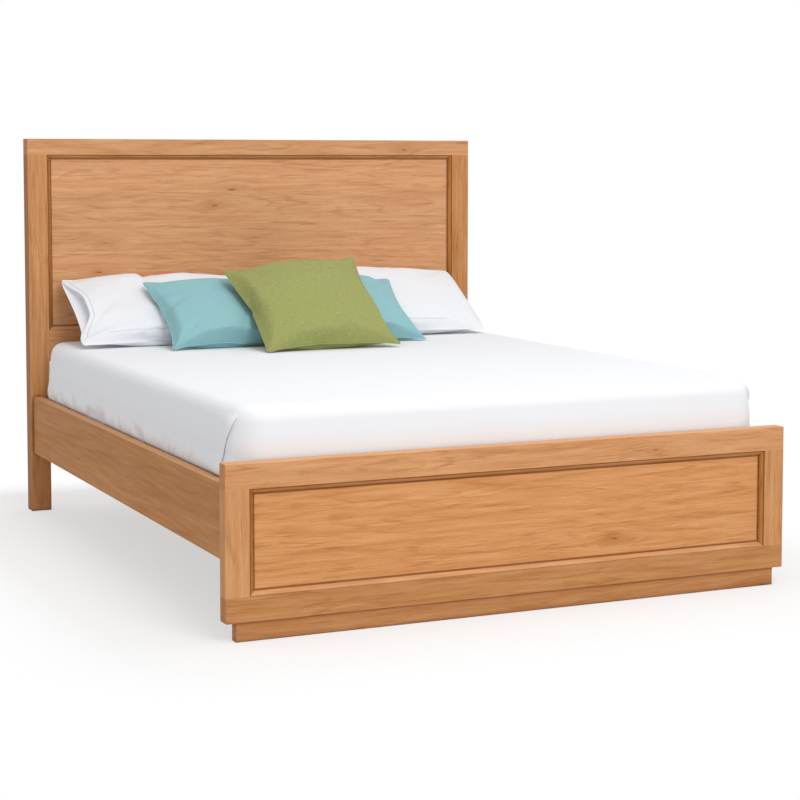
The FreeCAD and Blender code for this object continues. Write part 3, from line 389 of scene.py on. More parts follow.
    relief = add_node(tree, "Math", [specks, -1.0, fibre], operation="MULTIPLY_ADD")[0]
    relief = add_node(tree, "Math", [streak, 0.8, relief], operation="MULTIPLY_ADD")[0]
    bump = add_node(tree, "Bump", {"Height": relief, "Strength": 0.3, "Distance": 0.4 * MM})[0]
    gloss = add_node(tree, "Math", [fibre, 0.16, shine], operation="MULTIPLY_ADD")[0]
    shader = add_node(
        tree, "BsdfPrincipled",
        {"Base Color": colour, "Roughness": gloss, "Normal": bump, "IOR": 1.47, "Specular IOR Level": 0.1},
    )
    add_node(tree, "OutputMaterial", [shader[0]])
    return material


def steel_material(name, colour):
    """Pressed and turned steel, zinc plated: a cool grey metal, cloudy at a millimetre or two."""
    material, tree = new_material(name)
    place = add_node(tree, "TexCoord")["Object"]
    cloud = add_node(tree, "TexNoise", {"Vector": place, "Scale": 420.0, "Detail": 3.0})["Fac"]
    tint = add_node(tree, "MapRange", {0: cloud, 3: 0.82, 4: 1.1})[0]
    shade = add_node(tree, "HueSaturation", {"Color": tuple(colour), "Value": tint})[0]
    rough = add_node(tree, "MapRange", {0: cloud, 3: 0.3, 4: 0.52})[0]
    bump = add_node(tree, "Bump", {"Height": cloud, "Strength": 0.2, "Distance": 0.1 * MM})[0]
    shader = add_node(
        tree, "BsdfPrincipled", {"Base Color": shade, "Metallic": 1.0, "Roughness": rough, "Normal": bump}
    )
    add_node(tree, "OutputMaterial", [shader[0]])
    return material


def woven_material(name, colour, thread, slub, sheen, stitches=()):
    """Plain woven cloth: threads over and under each other, with thicker ones that catch the light.

    The map's lengths are metres on the flat cloth, so the weave keeps its size and follows each panel.
    Stitches are lines of thread along the panel's width (0) or height (1): where, from and to."""
    material, tree = new_material(name)
    flat = add_node(tree, "UVMap", uv_map="cloth")[0]
    turns = add_node(tree, "VectorMath", {0: flat, 3: TURN / thread}, operation="SCALE")[0]
    waves = add_node(tree, "VectorMath", [turns], operation="SINE")[0]
    waves = add_node(tree, "SeparateXYZ", [waves])
    weave = add_node(tree, "Math", [waves[0], waves[1]], operation="MULTIPLY")[0]
    tint, relief = 1.0, weave
    for stretch in ((13.0, 0.46 / thread, 1.0), (0.46 / thread, 13.0, 1.0)):
        lie = add_node(tree, "VectorMath", [flat, stretch], operation="MULTIPLY")[0]
        yarn = add_node(tree, "TexNoise", {"Vector": lie, "Detail": 1.0}, noise_dimensions="2D")["Fac"]
        even = add_node(tree, "Math", [yarn, 0.5], operation="SUBTRACT")[0]
        thick = add_node(tree, "MapRange", [yarn, 0.62, 0.76, 0.0, 1.0], interpolation_type="SMOOTHSTEP")[0]
        tint = add_node(tree, "Math", [even, 0.4 * slub, tint], operation="MULTIPLY_ADD")[0]
        tint = add_node(tree, "Math", [thick, 0.8 * slub, tint], operation="MULTIPLY_ADD")[0]
        relief = add_node(tree, "Math", [yarn, 2.0, relief], operation="MULTIPLY_ADD")[0]
    tint = add_node(tree, "Math", [weave, 0.1 * slub, tint], operation="MULTIPLY_ADD")[0]
    ways = add_node(tree, "SeparateXYZ", [flat])
    for way, place, start, end in stitches:
        line = add_node(tree, "Math", [ways[1 - way], place, 1.6 * MM], operation="COMPARE")[0]
        dashes = add_node(tree, "Math", [ways[way], 4.5 * MM], operation="DIVIDE")[0]
        dashes = add_node(tree, "Math", [dashes], operation="FRACT")[0]
        dashes = add_node(tree, "Math", [dashes, 0.78], operation="LESS_THAN")[0]
        within = add_node(
            tree, "Math", [ways[way], (start + end) / 2, (end - start) / 2], operation="COMPARE"
        )[0]
        line = add_node(tree, "Math", [line, dashes], operation="MULTIPLY")[0]
        line = add_node(tree, "Math", [line, within], operation="MULTIPLY")[0]
        tint = add_node(tree, "Math", [line, -0.3, tint], operation="MULTIPLY_ADD")[0]
        relief = add_node(tree, "Math", [line, -6.0, relief], operation="MULTIPLY_ADD")[0]
    shade = add_node(tree, "HueSaturation", {"Color": tuple(colour), "Value": tint})[0]
    bump = add_node(tree, "Bump", {"Height": relief, "Strength": 0.35, "Distance": 0.22 * thread})[0]
    shader = add_node(
        tree, "BsdfPrincipled",
        {
            "Base Color": shade, "Roughness": 0.92, "IOR": 1.46, "Specular IOR Level": 0.2,
            "Sheen Weight": sheen, "Sheen Roughness": 0.5, "Normal": bump,
        },
    )
    add_node(tree, "OutputMaterial", [shader[0]])
    return material


def dress(names, material, seeds):
    """Gives CAD pieces their material, and each one its own place in the log."""
    for name in names:
        piece = NODES[name]
        low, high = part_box(name)
        piece["grain_centre"] = list((low + high) / 2)
        piece["grain_seed"] = seeds.uniform(0, 50)
        piece["grain_tone_and_shade"] = TONES_AND_SHADES.get(name, 1.0)
        # Pieces darkened by painted shade get richer colour, as timber in shade looks
        piece["grain_rich"] = RICHES.get(name, 1.5 - 0.5 * piece["grain_tone_and_shade"])
        piece["frame_side"] = FRAME_SIDES.get(name.split("_moulding_")[-1], 0.0)
        piece["edge_shade"] = EDGE_SHADES.get(name, 0.0)
        piece.data.materials.clear()
        piece.data.materials.append(material)


def add_modifier(piece, name, kind, **settings):
    """Adds a modifier with its settings."""
    made = piece.modifiers.new(name, kind)
    for key, setting in settings.items():
        setattr(made, key, setting)


def ease_edges(names):
    """Takes the sharp edges off CAD pieces, as sanding does, so that joints show as fine lines."""
    for name in names:
        piece = NODES[name]
        add_modifier(piece, "Weld", "WELD", merge_threshold=WELD_GAP)
        add_modifier(
            piece, "Eased edges", "BEVEL",
            width=EASED_EDGE, segments=2, limit_method="ANGLE", angle_limit=math.radians(40),
        )
        add_modifier(piece, "Normals", "WEIGHTED_NORMAL", keep_sharp=True)


def new_piece(name, verts, faces, flat, material):
    """A smooth mesh with its cloth map: flat holds each corner's place on the flat cloth, face by face."""
    mesh = bpy.data.meshes.new(name)
    mesh.from_pydata([tuple(v) for v in verts], [], faces)
    cloth = mesh.uv_layers.new(name="cloth")
    cloth.data.foreach_set("uv", np.asarray(flat, float).ravel())
    mesh.polygons.foreach_set("use_smooth", [True] * len(mesh.polygons))
    mesh.materials.append(material)
    mesh.validate()
    mesh.update()
    piece = bpy.data.objects.new(name, mesh)
    bpy.context.scene.collection.objects.link(piece)
    return piece


def sew(width, height, start):
    """Two flat panels that share their edge: points, faces and each panel's grid of point numbers."""
    across, up = round(width / CLOTH_STEP), round(height / CLOTH_STEP)
    points, faces = [], []
    front = np.zeros((across + 1, up + 1), int)
    back = np.zeros_like(front)
    for side, grid in ((1, front), (-1, back)):
        for i in range(across + 1):
            for j in range(up + 1):
                if side < 0 and (i in (0, across) or j in (0, up)):
                    grid[i, j] = front[i, j]
                    continue
                x, y = width * (i / across - 0.5), height * j / up
                rough = 1 + 0.5 * noise.noise((9 * x + start, 9 * y, side * 3.0))
                swell = side * 4 * MM * rough * math.sin(math.pi * i / across) * math.sin(math.pi * j / up)
                grid[i, j] = len(points)
                points.append((x, y, swell))
    for i in range(across):
        for j in range(up):
            a, b, c, d = (i, j), (i + 1, j), (i + 1, j + 1), (i, j + 1)
            faces.append([front[k] for k in (a, b, c, d)])
            faces.append([back[k] for k in (a, d, c, b)])
    return points, faces, front, back


def fill(width, height, volume, start):
    """Fills two sewn panels by cloth simulation and returns where the front's and back's points end."""
    points, faces, front, back = sew(width, height, start)
    place = np.array(points)
    mesh = bpy.data.meshes.new("filling")
    mesh.from_pydata(points, [], [[int(k) for k in face] for face in faces])
    cover = bpy.data.objects.new("filling", mesh)
    scene = bpy.context.scene
    scene.collection.objects.link(cover)
    cloth = cover.modifiers.new("Cloth", "CLOTH")
    cloth.collision_settings.use_collision = False
    cloth.point_cache.frame_end = FILL_FRAMES
    made = cloth.settings
    made.quality = 6
    made.mass = 0.1
    made.tension_stiffness = made.compression_stiffness = 20
    made.shear_stiffness = 7
    made.bending_stiffness = 0.1
    made.tension_damping = made.compression_damping = made.shear_damping = 15
    made.air_damping = 6
    made.use_pressure = made.use_pressure_volume = True
    made.uniform_pressure_force = 1
    made.target_volume = volume
    made.effector_weights.gravity = 0
    for moment in range(1, FILL_FRAMES + 1):
        scene.frame_set(moment)
    filled = cover.evaluated_get(bpy.context.evaluated_depsgraph_get())
    place = np.array([v.co for v in filled.data.vertices])
    scene.frame_set(1)
    bpy.data.objects.remove(cover)
    return place[front], place[back]


def fit(front, back, width, height, crowns, soft, sunk):
    """Scales a filled cover to its size, with its front and back as high as they should be.

    A soft above 1 thins the cover towards its seams, as loose filling does, and a sunk above 1 brings the
    fullest part below the middle, where the filling settles."""
    corner_width = front[-1, 0, 0] - front[0, 0, 0]
    corner_height = front[0, -1, 1] - front[0, 0, 1]
    middle = (front[0, 0] + front[-1, 0]) / 2
    for panel, crown in ((front, crowns[0]), (back, -crowns[1])):
        panel -= middle
        panel[..., 0] *= width / corner_width
        panel[..., 1] *= height / corner_height
        most = np.abs(panel[..., 2]).max()
        panel[..., 2] = crown * (np.abs(panel[..., 2]) / most) ** soft
        up = panel[..., 1] / height
        panel[..., 1] = height * np.where(up > 0, np.abs(up) ** sunk, up)


def shape(panels, width, height, form):
    """Gives a filled cover its own character.

    draw pulls the left and right edges in between the corners, rise lifts the top's middle, lift raises the
    lower seam between its corners, sag lets the back hang below that seam, skew makes the right side taller,
    twist brings the top right corner forward, and round takes the points off the corners. A cushion's form
    also says how it is filled (soft and sunk, as fit takes them) and where it is creased."""
    for side, panel in zip((1, -1), panels):
        across = np.clip(panel[..., 0] / (width / 2), -1, 1)
        up = np.clip(panel[..., 1] / height, 0, 1)
        bow = 4 * up * (1 - up)
        outer = np.abs(across) ** 2
        draw = np.where(across < 0, form["draw"][0], form["draw"][1])
        point = outer * np.abs(2 * up - 1) ** 6
        if side < 0:
            panel[..., 2] -= form["sag"] * (1 - outer) * 10 * up * np.exp(1 - 10 * up)
        panel[..., 0] -= np.sign(across) * outer * bow * draw
        panel[..., 0] -= np.sign(across) * point * form["round"]
        panel[..., 1] += form["rise"] * (1 - across**2) * up**2 - form["round"] * point * np.sign(2 * up - 1)
        panel[..., 1] += form["lift"] * (1 - across**4) * (1 - up) ** 4
        panel[..., 1] *= 1 + form["skew"] * (across + 1) / 2
        panel[..., 2] += form["twist"] * up**2 * ((across + 1) / 2) ** 2


def crumple(panels, width, height, depth, start):
    """Adds slack to a filled cover: folds that run out from the corners, and soft dents between them."""
    for side, panel in zip((1, -1), panels):
        swell = np.clip(np.abs(panel[..., 2]) / np.abs(panel[..., 2]).max(), 0, 1)
        slack = np.zeros(swell.shape)
        for corner_x in (-1, 1):
            for corner_y in (0, 1):
                east = (panel[..., 0] - corner_x * width / 2) * -corner_x
                north = (panel[..., 1] - corner_y * height) * (1 - 2 * corner_y)
                away = np.hypot(east, north)
                angle = np.arctan2(north, east)
                folds = np.cos(11 * angle + 2.1 * start + corner_x + 3 * corner_y)
                slack += folds * np.exp(-away / 0.09) * np.clip(away / 0.04, 0, 1)
        for k in np.ndindex(swell.shape):
            x, y = panel[k][0], panel[k][1]
            slack[k] += 0.7 * noise.noise((6 * x + start, 8 * y, side + start))
            slack[k] += 0.35 * noise.noise((15 * x - start, 17 * y, side - start))
        panel[..., 2] += side * depth * slack * swell


def crease(panel, begin, end, depth, reach):
    """Presses a fold into a panel from one place to another: steep on its left, soft on its right."""
    begin, end = np.array(begin), np.array(end)
    way = (end - begin) / np.linalg.norm(end - begin)
    off = panel[..., :2] - begin
    along = off @ way / np.linalg.norm(end - begin)
    beside = off[..., 0] * way[1] - off[..., 1] * way[0]
    width = np.where(beside < 0, reach, 0.2 * reach)
    fade = np.clip(1.25 - along, 0, 1) * np.clip(along + 1, 0, 1)
    panel[..., 2] -= depth * np.exp(-((beside / width) ** 2)) * fade


def open_end(front, back, height, inset, lift):
    """Opens a case at its left end: the front's hem stands off the back's, with a hollow between them."""
    # Round the hollow from the back's hem to the front's: share of the inset, share of the lift
    hollow = [(0.0, 0.0), (1.1, 0.03), (1.9, 0.2), (2.1, 0.6), (1.8, 0.88), (1.06, 0.95), (0.98, 1.0)]
    up = front[0, :, 1] / height
    puff = 14 * MM * step(up, 0.0, 0.05) * step(up, 0.24, 0.08)
    for panel in (front, back):
        for i in range(10):
            panel[i, :, 0] -= puff * (1 - i / 10)
    bow = 0.02 + 0.98 * step(up, 0.16, 0.36) * step(up, 0.99, 0.55)
    begin, old, last = front[0].copy(), front[len(hollow) - 1].copy(), front.shape[0] - 1
    hem_x = begin[:, 0] + hollow[-1][0] * inset * bow
    hem_z = begin[:, 2] + lift * bow
    for i in range(1, last):
        if i < len(hollow):
            front[i, :, 0] = begin[:, 0] + hollow[i][0] * inset * bow
            front[i, :, 2] = begin[:, 2] + hollow[i][1] * lift * bow
        else:
            far = (front[i, :, 0] - old[:, 0]) / (front[last, :, 0] - old[:, 0])
            front[i, :, 0] = hem_x + (front[last, :, 0] - hem_x) * far
            front[i, :, 2] += (hem_z - old[:, 2]) * np.exp(-9 * far)


def rim_of(across, up):
    """The places round a grid's edge, in order."""
    way = [(i, 0) for i in range(across)] + [(across, j) for j in range(up)]
    return way + [(i, up) for i in range(across, 0, -1)] + [(0, j) for j in range(up, 0, -1)]


def cover_mesh(front, back, lip):
    """Points, faces and flat places of a cover whose two panels meet in a flat sewn lip."""
    across, up = front.shape[0] - 1, front.shape[1] - 1
    points, faces, flat = [], [], []
    numbers = []
    size = np.array([np.ptp(front[..., 0]), np.ptp(front[..., 1])])
    shares = np.linspace(0, 1, across + 1), np.linspace(0, 1, up + 1)
    grid_flat = np.stack(np.meshgrid(*shares, indexing="ij"), -1) * size
    for panel, side in ((front, 1), (back, -1)):
        grid = np.arange(panel.shape[0] * panel.shape[1]).reshape(panel.shape[:2]) + len(points)
        lifted = panel.copy()
        for i, j in rim_of(across, up):
            lifted[i, j, 2] += side * LIP_THICKNESS / 2
        points += list(lifted.reshape(-1, 3))
        numbers.append(grid)
        for i in range(across):
            for j in range(up):
                ring = [(i, j), (i + 1, j), (i + 1, j + 1), (i, j + 1)]
                if side < 0:
                    ring.reverse()
                faces.append([int(grid[k]) for k in ring])
                flat += [grid_flat[k] for k in ring]
    way = rim_of(across, up)
    edge = np.array([front[k] for k in way])
    ahead, behind = np.roll(edge, -1, 0), np.roll(edge, 1, 0)
    tangent = ahead - behind
    outward = np.stack([tangent[:, 1], -tangent[:, 0], 0 * tangent[:, 0]], -1)
    outward /= np.linalg.norm(outward, axis=1)[:, None]
    lips = []
    for side in (1, -1):
        ring = [len(points) + k for k in range(len(way))]
        for spot, out in zip(edge, outward):
            points.append(spot + out * lip + np.array([0, 0, side * LIP_THICKNESS * 0.35]))
        lips.append(ring)
    for k in range(len(way)):
        n = (k + 1) % len(way)
        here, there = grid_flat[way[k]], grid_flat[way[n]]
        out_here, out_there = here + outward[k, :2] * lip, there + outward[n, :2] * lip
        top, low = numbers
        faces.append([int(top[way[n]]), int(top[way[k]]), lips[0][k], lips[0][n]])
        flat += [there, here, out_here, out_there]
        faces.append([int(low[way[k]]), int(low[way[n]]), lips[1][n], lips[1][k]])
        flat += [here, there, out_there, out_here]
        faces.append([lips[0][n], lips[0][k], lips[1][k], lips[1][n]])
        flat += [out_there, out_here, out_here, out_there]
    return np.array(points), faces, flat


def lay(points, middle, foot, lean, turn):
    """Leans flat-lying points back against what is behind: lower edge at foot, sideways middle at middle."""
    spun = points.copy()
    spun[:, 0] = points[:, 0] * math.cos(turn) - points[:, 1] * math.sin(turn)
    spun[:, 1] = points[:, 0] * math.sin(turn) + points[:, 1] * math.cos(turn)
    laid = np.empty_like(spun)
    laid[:, 0] = spun[:, 0] + middle
    laid[:, 1] = foot + spun[:, 1] * math.cos(lean) - spun[:, 2] * math.sin(lean)
    laid[:, 2] = spun[:, 1] * math.sin(lean) + spun[:, 2] * math.cos(lean)
    return laid


def seat(points, bed, wall=None):
    """Sets points down on the bed and flattens what would sink into the bed or the headboard."""
    low = np.sort(points[:, 2])[len(points) // 100]
    points[:, 2] += bed - low
    points[:, 2] = np.maximum(points[:, 2], bed + 0.12 * np.maximum(points[:, 2] - bed, -3 * MM) + 0.4 * MM)
    if wall is not None:
        points[:, 1] = np.minimum(points[:, 1], wall)
    return points


def sewn_cushion(width, height, crowns, volume, form, start, cushions):
    """Front and back of a filled cushion inside its sewn lip."""
    lip = cushions.lip
    front, back = fill(width * 1.06, height * 1.06, volume, start)
    fit(front, back, width - 2 * lip, height - 2 * lip, crowns, *form["filling"])
    shape((front, back), width, height, form)
    crumple((front, back), width, height, 5 * MM, start)
    for begin, end, depth, reach in form["creases"]:
        crease(front, begin, end, depth, reach)
    for panel in (front, back):
        panel[..., 1] += lip
    return front, back


def finish_cover(label, points, faces, flat, material, node):
    """Makes a cover's piece, smooths it and hangs it on the body of the solid that it replaces."""
    piece = new_piece(label, points, faces, flat, material)
    add_modifier(piece, "Smooth", "SUBSURF", levels=1, render_levels=1)
    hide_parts(node)
    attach(piece, node)


def rounded_rim(half_x, half_y, radius, segments):
    """Points and outward directions round a rectangle with round corners.

    It starts where the left side meets the front left corner and goes along the front first."""
    along_x, along_y, corner = segments
    spots, outs = [], []
    sides = [
        ((-1, -1), (1, 0), along_x, half_x),
        ((1, -1), (0, 1), along_y, half_y),
        ((1, 1), (-1, 0), along_x, half_x),
        ((-1, 1), (0, -1), along_y, half_y),
    ]
    for (sx, sy), way, count, half in sides:
        centre = np.array([sx * (half_x - radius), sy * (half_y - radius)])
        start = math.atan2(way[1], way[0]) - math.pi / 2
        for k in range(corner):
            angle = start - math.pi / 2 + (math.pi / 2) * (k / corner)
            out = np.array([math.cos(angle), math.sin(angle)])
            spots.append(centre + radius * out)
            outs.append(out)
        out = np.array([math.cos(start), math.sin(start)])
        for k in range(count):
            spots.append(centre + radius * out + np.array(way) * (2 * (half - radius)) * k / count)
            outs.append(out)
    return np.array(spots), np.array(outs)


def covered_box(middle, half_x, half_y, profile, corner, segments):
    """Points and faces over a rounded box: rings up its sides by a profile of inset and height, then a top.

    Each ring holds as many points as the rim, so the first points are the sides' and the rest the top's."""
    along_x, along_y, bend = segments
    spots, outs = rounded_rim(half_x, half_y, corner, segments)
    count = len(spots)
    rings = []
    for inset, height in profile:
        rings.append(np.column_stack([spots - outs * inset + middle, np.full(count, height)]))
    faces = []
    for ring in range(len(rings) - 1):
        low, high = ring * count, (ring + 1) * count
        for k in range(count):
            n = (k + 1) % count
            faces.append([low + k, low + n, high + n, high + k])
    base = len(rings) * count
    x = np.linspace(corner - half_x, half_x - corner, along_x + 1) + middle[0]
    y = np.linspace(corner - half_y, half_y - corner, along_y + 1) + middle[1]
    level = np.full((along_x + 1, along_y + 1), profile[-1][1])
    top = np.stack([*np.meshgrid(x, y, indexing="ij"), level], -1)
    grid = base + np.arange(top.shape[0] * top.shape[1]).reshape(top.shape[:2])
    for i in range(along_x):
        for j in range(along_y):
            faces.append([int(grid[at]) for at in ((i, j), (i + 1, j), (i + 1, j + 1), (i, j + 1))])
    inner = [grid[0, 0]] * bend + list(grid[:-1, 0]) + [grid[-1, 0]] * bend + list(grid[-1, :-1])
    inner += [grid[-1, -1]] * bend + list(grid[:0:-1, -1]) + [grid[0, -1]] * bend + list(grid[0, :0:-1])
    for k in range(count):
        n = (k + 1) % count
        face = [base - count + k, base - count + n, int(inner[n]), int(inner[k])]
        faces.append(face if inner[n] != inner[k] else face[:3])
    return np.vstack(rings + [top.reshape(-1, 3)]), faces


def edge_profile(low, high, radius, corner, side_steps, bend_steps):
    """Inset and height up a side, round its top edge and in to where the corners end."""
    profile = [(0.0, low + (high - radius - low) * k / side_steps) for k in range(side_steps + 1)]
    for k in range(1, bend_steps + 1):
        angle = math.pi / 2 * k / bend_steps
        profile.append((radius * (1 - math.cos(angle)), high - radius * (1 - math.sin(angle))))
    profile.append(((radius + corner) / 2, high))
    return profile


def step(value, begin, end):
    """Rises smoothly from 0 at begin to 1 at end."""
    share = np.clip((value - begin) / (end - begin), 0, 1)
    return share * share * (3 - 2 * share)


class BED_OT_timber(bpy.types.Operator):
    """Oiled timber on the headboard, footboard, plinth and side rails"""

    bl_idname = "bed.timber"
    bl_label = "Visible timber"

    def execute(self, context):
        wood = context.scene.bed_timber
        seeds = random.Random(31)
        for along, names in GRAIN.items():
            dress(names, timber_material(f"oiled oak, grain along {along}", along, wood), seeds)
            ease_edges(names)
        for along, names in GLUED.items():
            figure = 0.5 if along == "Y" else 1.0
            label = f"oiled oak staves, grain along {along}"
            dress(names, timber_material(label, along, wood, wood.stave, figure=figure), seeds)
            ease_edges(names)
        return {"FINISHED"}


class BED_OT_base(bpy.types.Operator):
    """Bare planed pine on slats, beam, ledgers and legs, and zinc-plated steel on the fittings"""

    bl_idname = "bed.base"
    bl_label = "Slatted base and fittings"

    def execute(self, context):
        wood = context.scene.bed_inner
        seeds = random.Random(7)
        for along, names in INNER_GRAIN.items():
            dress(names, timber_material(f"planed pine, grain along {along}", along, wood, shine=0.6), seeds)
        dress(STEEL, steel_material("zinc-plated steel", wood.steel), seeds)
        return {"FINISHED"}


class BED_OT_mattress(bpy.types.Operator):
    """The mattress in its ticking, quilted underneath"""

    bl_idname = "bed.mattress"
    bl_label = "Mattress"

    corner, edge = 0.070, 0.040
    quilt = 0.15
    # Inset and height round the lower edge, and insets of the flat underside
    foot = [(0.020, 0.0), (0.008, 0.004), (0.001, 0.014)]
    base = (0.020, 0.045)

    def execute(self, context):
        linen = context.scene.bed_linen
        low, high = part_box("mattress")
        half_x, half_y = (high.x - low.x) / 2, (high.y - low.y) / 2
        middle = ((low.x + high.x) / 2, (low.y + high.y) / 2)
        grid = (64, 80, 6)
        profile = [(inset, low.z + height) for inset, height in self.foot]
        profile += edge_profile(low.z + 0.03, high.z, self.edge, self.corner, 8, 5)
        points, faces = covered_box(middle, half_x, half_y, profile, self.corner, grid)
        base = [(inset, low.z) for inset in self.base]
        lower, under = covered_box(middle, half_x, half_y, base, self.corner, grid)
        off = np.abs(lower[:, :2] - middle)
        inside = np.minimum(half_x - off[:, 0], half_y - off[:, 1])
        waves = np.sin(TURN * (lower[:, 0] + lower[:, 1]) / self.quilt)
        waves *= np.sin(TURN * (lower[:, 0] - lower[:, 1]) / self.quilt)
        lower[:, 2] += 1.5 * MM * (1 - np.abs(waves)) ** 4 * step(inside, 0.04, 0.06)
        faces += [[len(points) + k for k in reversed(face)] for face in under]
        points = np.vstack([points, lower])
        flat = [(points[k][0] + points[k][2], points[k][1]) for face in faces for k in face]
        ticking = woven_material("woven ticking", linen.ticking, 2 * linen.thread, 0.12, 0.1)
        piece = new_piece("mattress_cover", points, faces, flat, ticking)
        add_modifier(piece, "Weld", "WELD", merge_threshold=WELD_GAP)
        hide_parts("mattress")
        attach(piece, "mattress")
        return {"FINISHED"}


class BED_OT_sheet(bpy.types.Operator):
    """The white fitted sheet, with its gathers along the rails and the tucks at its front corners"""

    bl_idname = "bed.sheet"
    bl_label = "Fitted sheet"

    corner, edge = 72 * MM, 42 * MM
    thick, tuck_thick = 1 * MM, 0.6 * MM
    grid = (144, 176, 12)

    def execute(self, context):
        linen = context.scene.bed_linen
        low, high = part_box("fitted_sheet")
        self.low, self.high = low.z, high.z
        self.half = (high.x - low.x) / 2, (high.y - low.y) / 2
        self.middle = (low.x + high.x) / 2, (low.y + high.y) / 2
        self.rim, self.outs = rounded_rim(*self.half, self.corner, self.grid)
        steps = np.linalg.norm(np.diff(self.rim, axis=0, append=self.rim[:1]), axis=1)
        self.gone = np.concatenate([[0], np.cumsum(steps)])
        self.turned = self.gone[2 * self.grid[2] + self.grid[0]]
        cotton = woven_material("white percale cotton", linen.white, linen.thread, 0.02, 0.12)
        piece = self.cloth(cotton)
        tucks = [self.tuck(name, side, cotton) for name, side in (("left", 1), ("right", -1))]
        return {"FINISHED"}

    def stand_off(self, gone, out, height):
        """How far the sheet stands off the mattress at a place round the rim and up the side."""
        side, front = out[0] ** 2, max(0.0, -out[1]) ** 2
        above = height - RAIL_TOP
        free = step(above, -14 * MM, -4 * MM)
        full = 1 - step(height, RAIL_TOP + 70 * MM, self.high - 15 * MM)
        bulge = (10 * MM * side + 5 * MM * front) * free * full
        lap = 7 * MM * side * step(above, 1 * MM, 9 * MM) * (1 - step(above, 18 * MM, 70 * MM))
        near = side * step(above, 2 * MM, 9 * MM) * (1 - step(above, 14 * MM, 58 * MM))
        near *= step(min(self.gone[-1] - gone, abs(gone - self.turned)), 0.1, 0.24)
        notch = max(0.0, 1 - 4.5 * abs(noise.noise((gone * 6.5 + height * 7, height * 6, 2.0)))) ** 2
        notch += 0.5 * max(0.0, 1 - 4 * abs(noise.noise((gone * 15 - height * 9, height * 8, 9.0)))) ** 2
        slack = noise.noise((gone * 3.3, height * 5, 4.0)) * step(height, self.high, self.high - 0.08) * free
        return max(-0.4 * MM, bulge + lap - 11 * MM * near * notch + 2 * MM * slack)

    def cloth(self, cotton):
        """The sheet itself, drawn smooth over the top."""
        profile = edge_profile(self.low, self.high, self.edge, self.corner, 22, 8)
        points, faces = covered_box(self.middle, *self.half, profile, self.corner, self.grid)
        flat = self.flat_map(points, faces)
        for ring in range(len(profile)):
            for k, out in enumerate(self.outs):
                spot = points[ring * len(self.outs) + k]
                spot[:2] += out * self.stand_off(self.gone[k], out, spot[2])
        for spot in points:
            soft = 0.35 * MM * noise.noise((2.3 * spot[0], 2.3 * spot[1], 11.0))
            spot[2] -= (soft + 0.35 * MM) * step(spot[2], self.high - 5 * MM, self.high)
        piece = new_piece("fitted_sheet_cloth", points, faces, flat, cotton)
        add_modifier(piece, "Cloth thickness", "SOLIDIFY", thickness=self.thick, offset=-1)
        self.settle(piece)
        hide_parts("fitted_sheet")
        return piece

    def flat_map(self, points, faces):
        """Each corner's place on the cloth, with the sides folded out flat."""
        spread = points[:, :2] - np.array(self.middle)
        fall = self.high - points[:, 2]
        beyond_x = np.abs(spread[:, 0]) / self.half[0] > np.abs(spread[:, 1]) / self.half[1]
        spread[:, 0] += np.where(beyond_x, np.sign(spread[:, 0]) * fall, 0)
        spread[:, 1] += np.where(beyond_x, 0, np.sign(spread[:, 1]) * fall)
        return [spread[k] for face in faces for k in face]

    def tuck(self, name, side, cotton):
        """The fold at a front corner, where the side's cloth laps over the front's with a rolled edge."""
        section = [(14, 0.4), (8, 0.5), (2.5, 1.0), (-1.2, 3.2), (-0.6, 6.4), (3, 9.0), (9, 10.2), (18, 9.6)]
        section += [(36, 7.0), (70, 4.0), (115, 1.8), (150, 0.6), (185, -0.8)]
        top, foot = self.high - 14 * MM, RAIL_TOP - 12 * MM
        rows = 26
        points, flat = [], []
        for row in range(rows + 1):
            height = foot + (top - foot) * row / rows
            share = (height - foot) / (self.high - 25 * MM - foot)
            fold = -30 * MM + 68 * MM * share**1.6
            freed = 0.3 + 0.7 * step(height, RAIL_TOP - 4 * MM, RAIL_TOP + 12 * MM)
            grow = step(height, top, top - 40 * MM) * freed
            above = max(0.0, height - self.high + self.edge)
            inset = self.edge - math.sqrt(self.edge**2 - above**2)
            for back, off in section:
                gone = (fold - back * MM) if side > 0 else self.turned - fold + back * MM
                gone %= self.gone[-1]
                out = self.at_rim(gone, self.outs)
                reach = self.stand_off(gone, out, height) - inset + (off + 0.8) * MM * grow - 0.8 * MM
                spot = self.at_rim(gone, self.rim) + out * reach + np.array(self.middle)
                points.append((*spot, height))
                flat.append((back * MM, height))
        wide = len(section)
        faces = []
        for row in range(rows):
            for k in range(wide - 1):
                a = row * wide + k
                faces.append([a, a + 1, a + wide + 1, a + wide][:: -side])
        flat = [flat[k] for face in faces for k in face]
        piece = new_piece(f"fitted_sheet_{name}_tuck", points, faces, flat, cotton)
        add_modifier(piece, "Cloth thickness", "SOLIDIFY", thickness=self.tuck_thick)
        self.settle(piece)
        return piece

    def at_rim(self, gone, table):
        """What a table of the rim's places or outward directions says at a distance round the rim."""
        return np.array([np.interp(gone, self.gone, np.append(table[:, a], table[0, a])) for a in (0, 1)])

    def settle(self, piece):
        """Puts a piece of the sheet on the mattress's body."""
        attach(piece, "mattress")


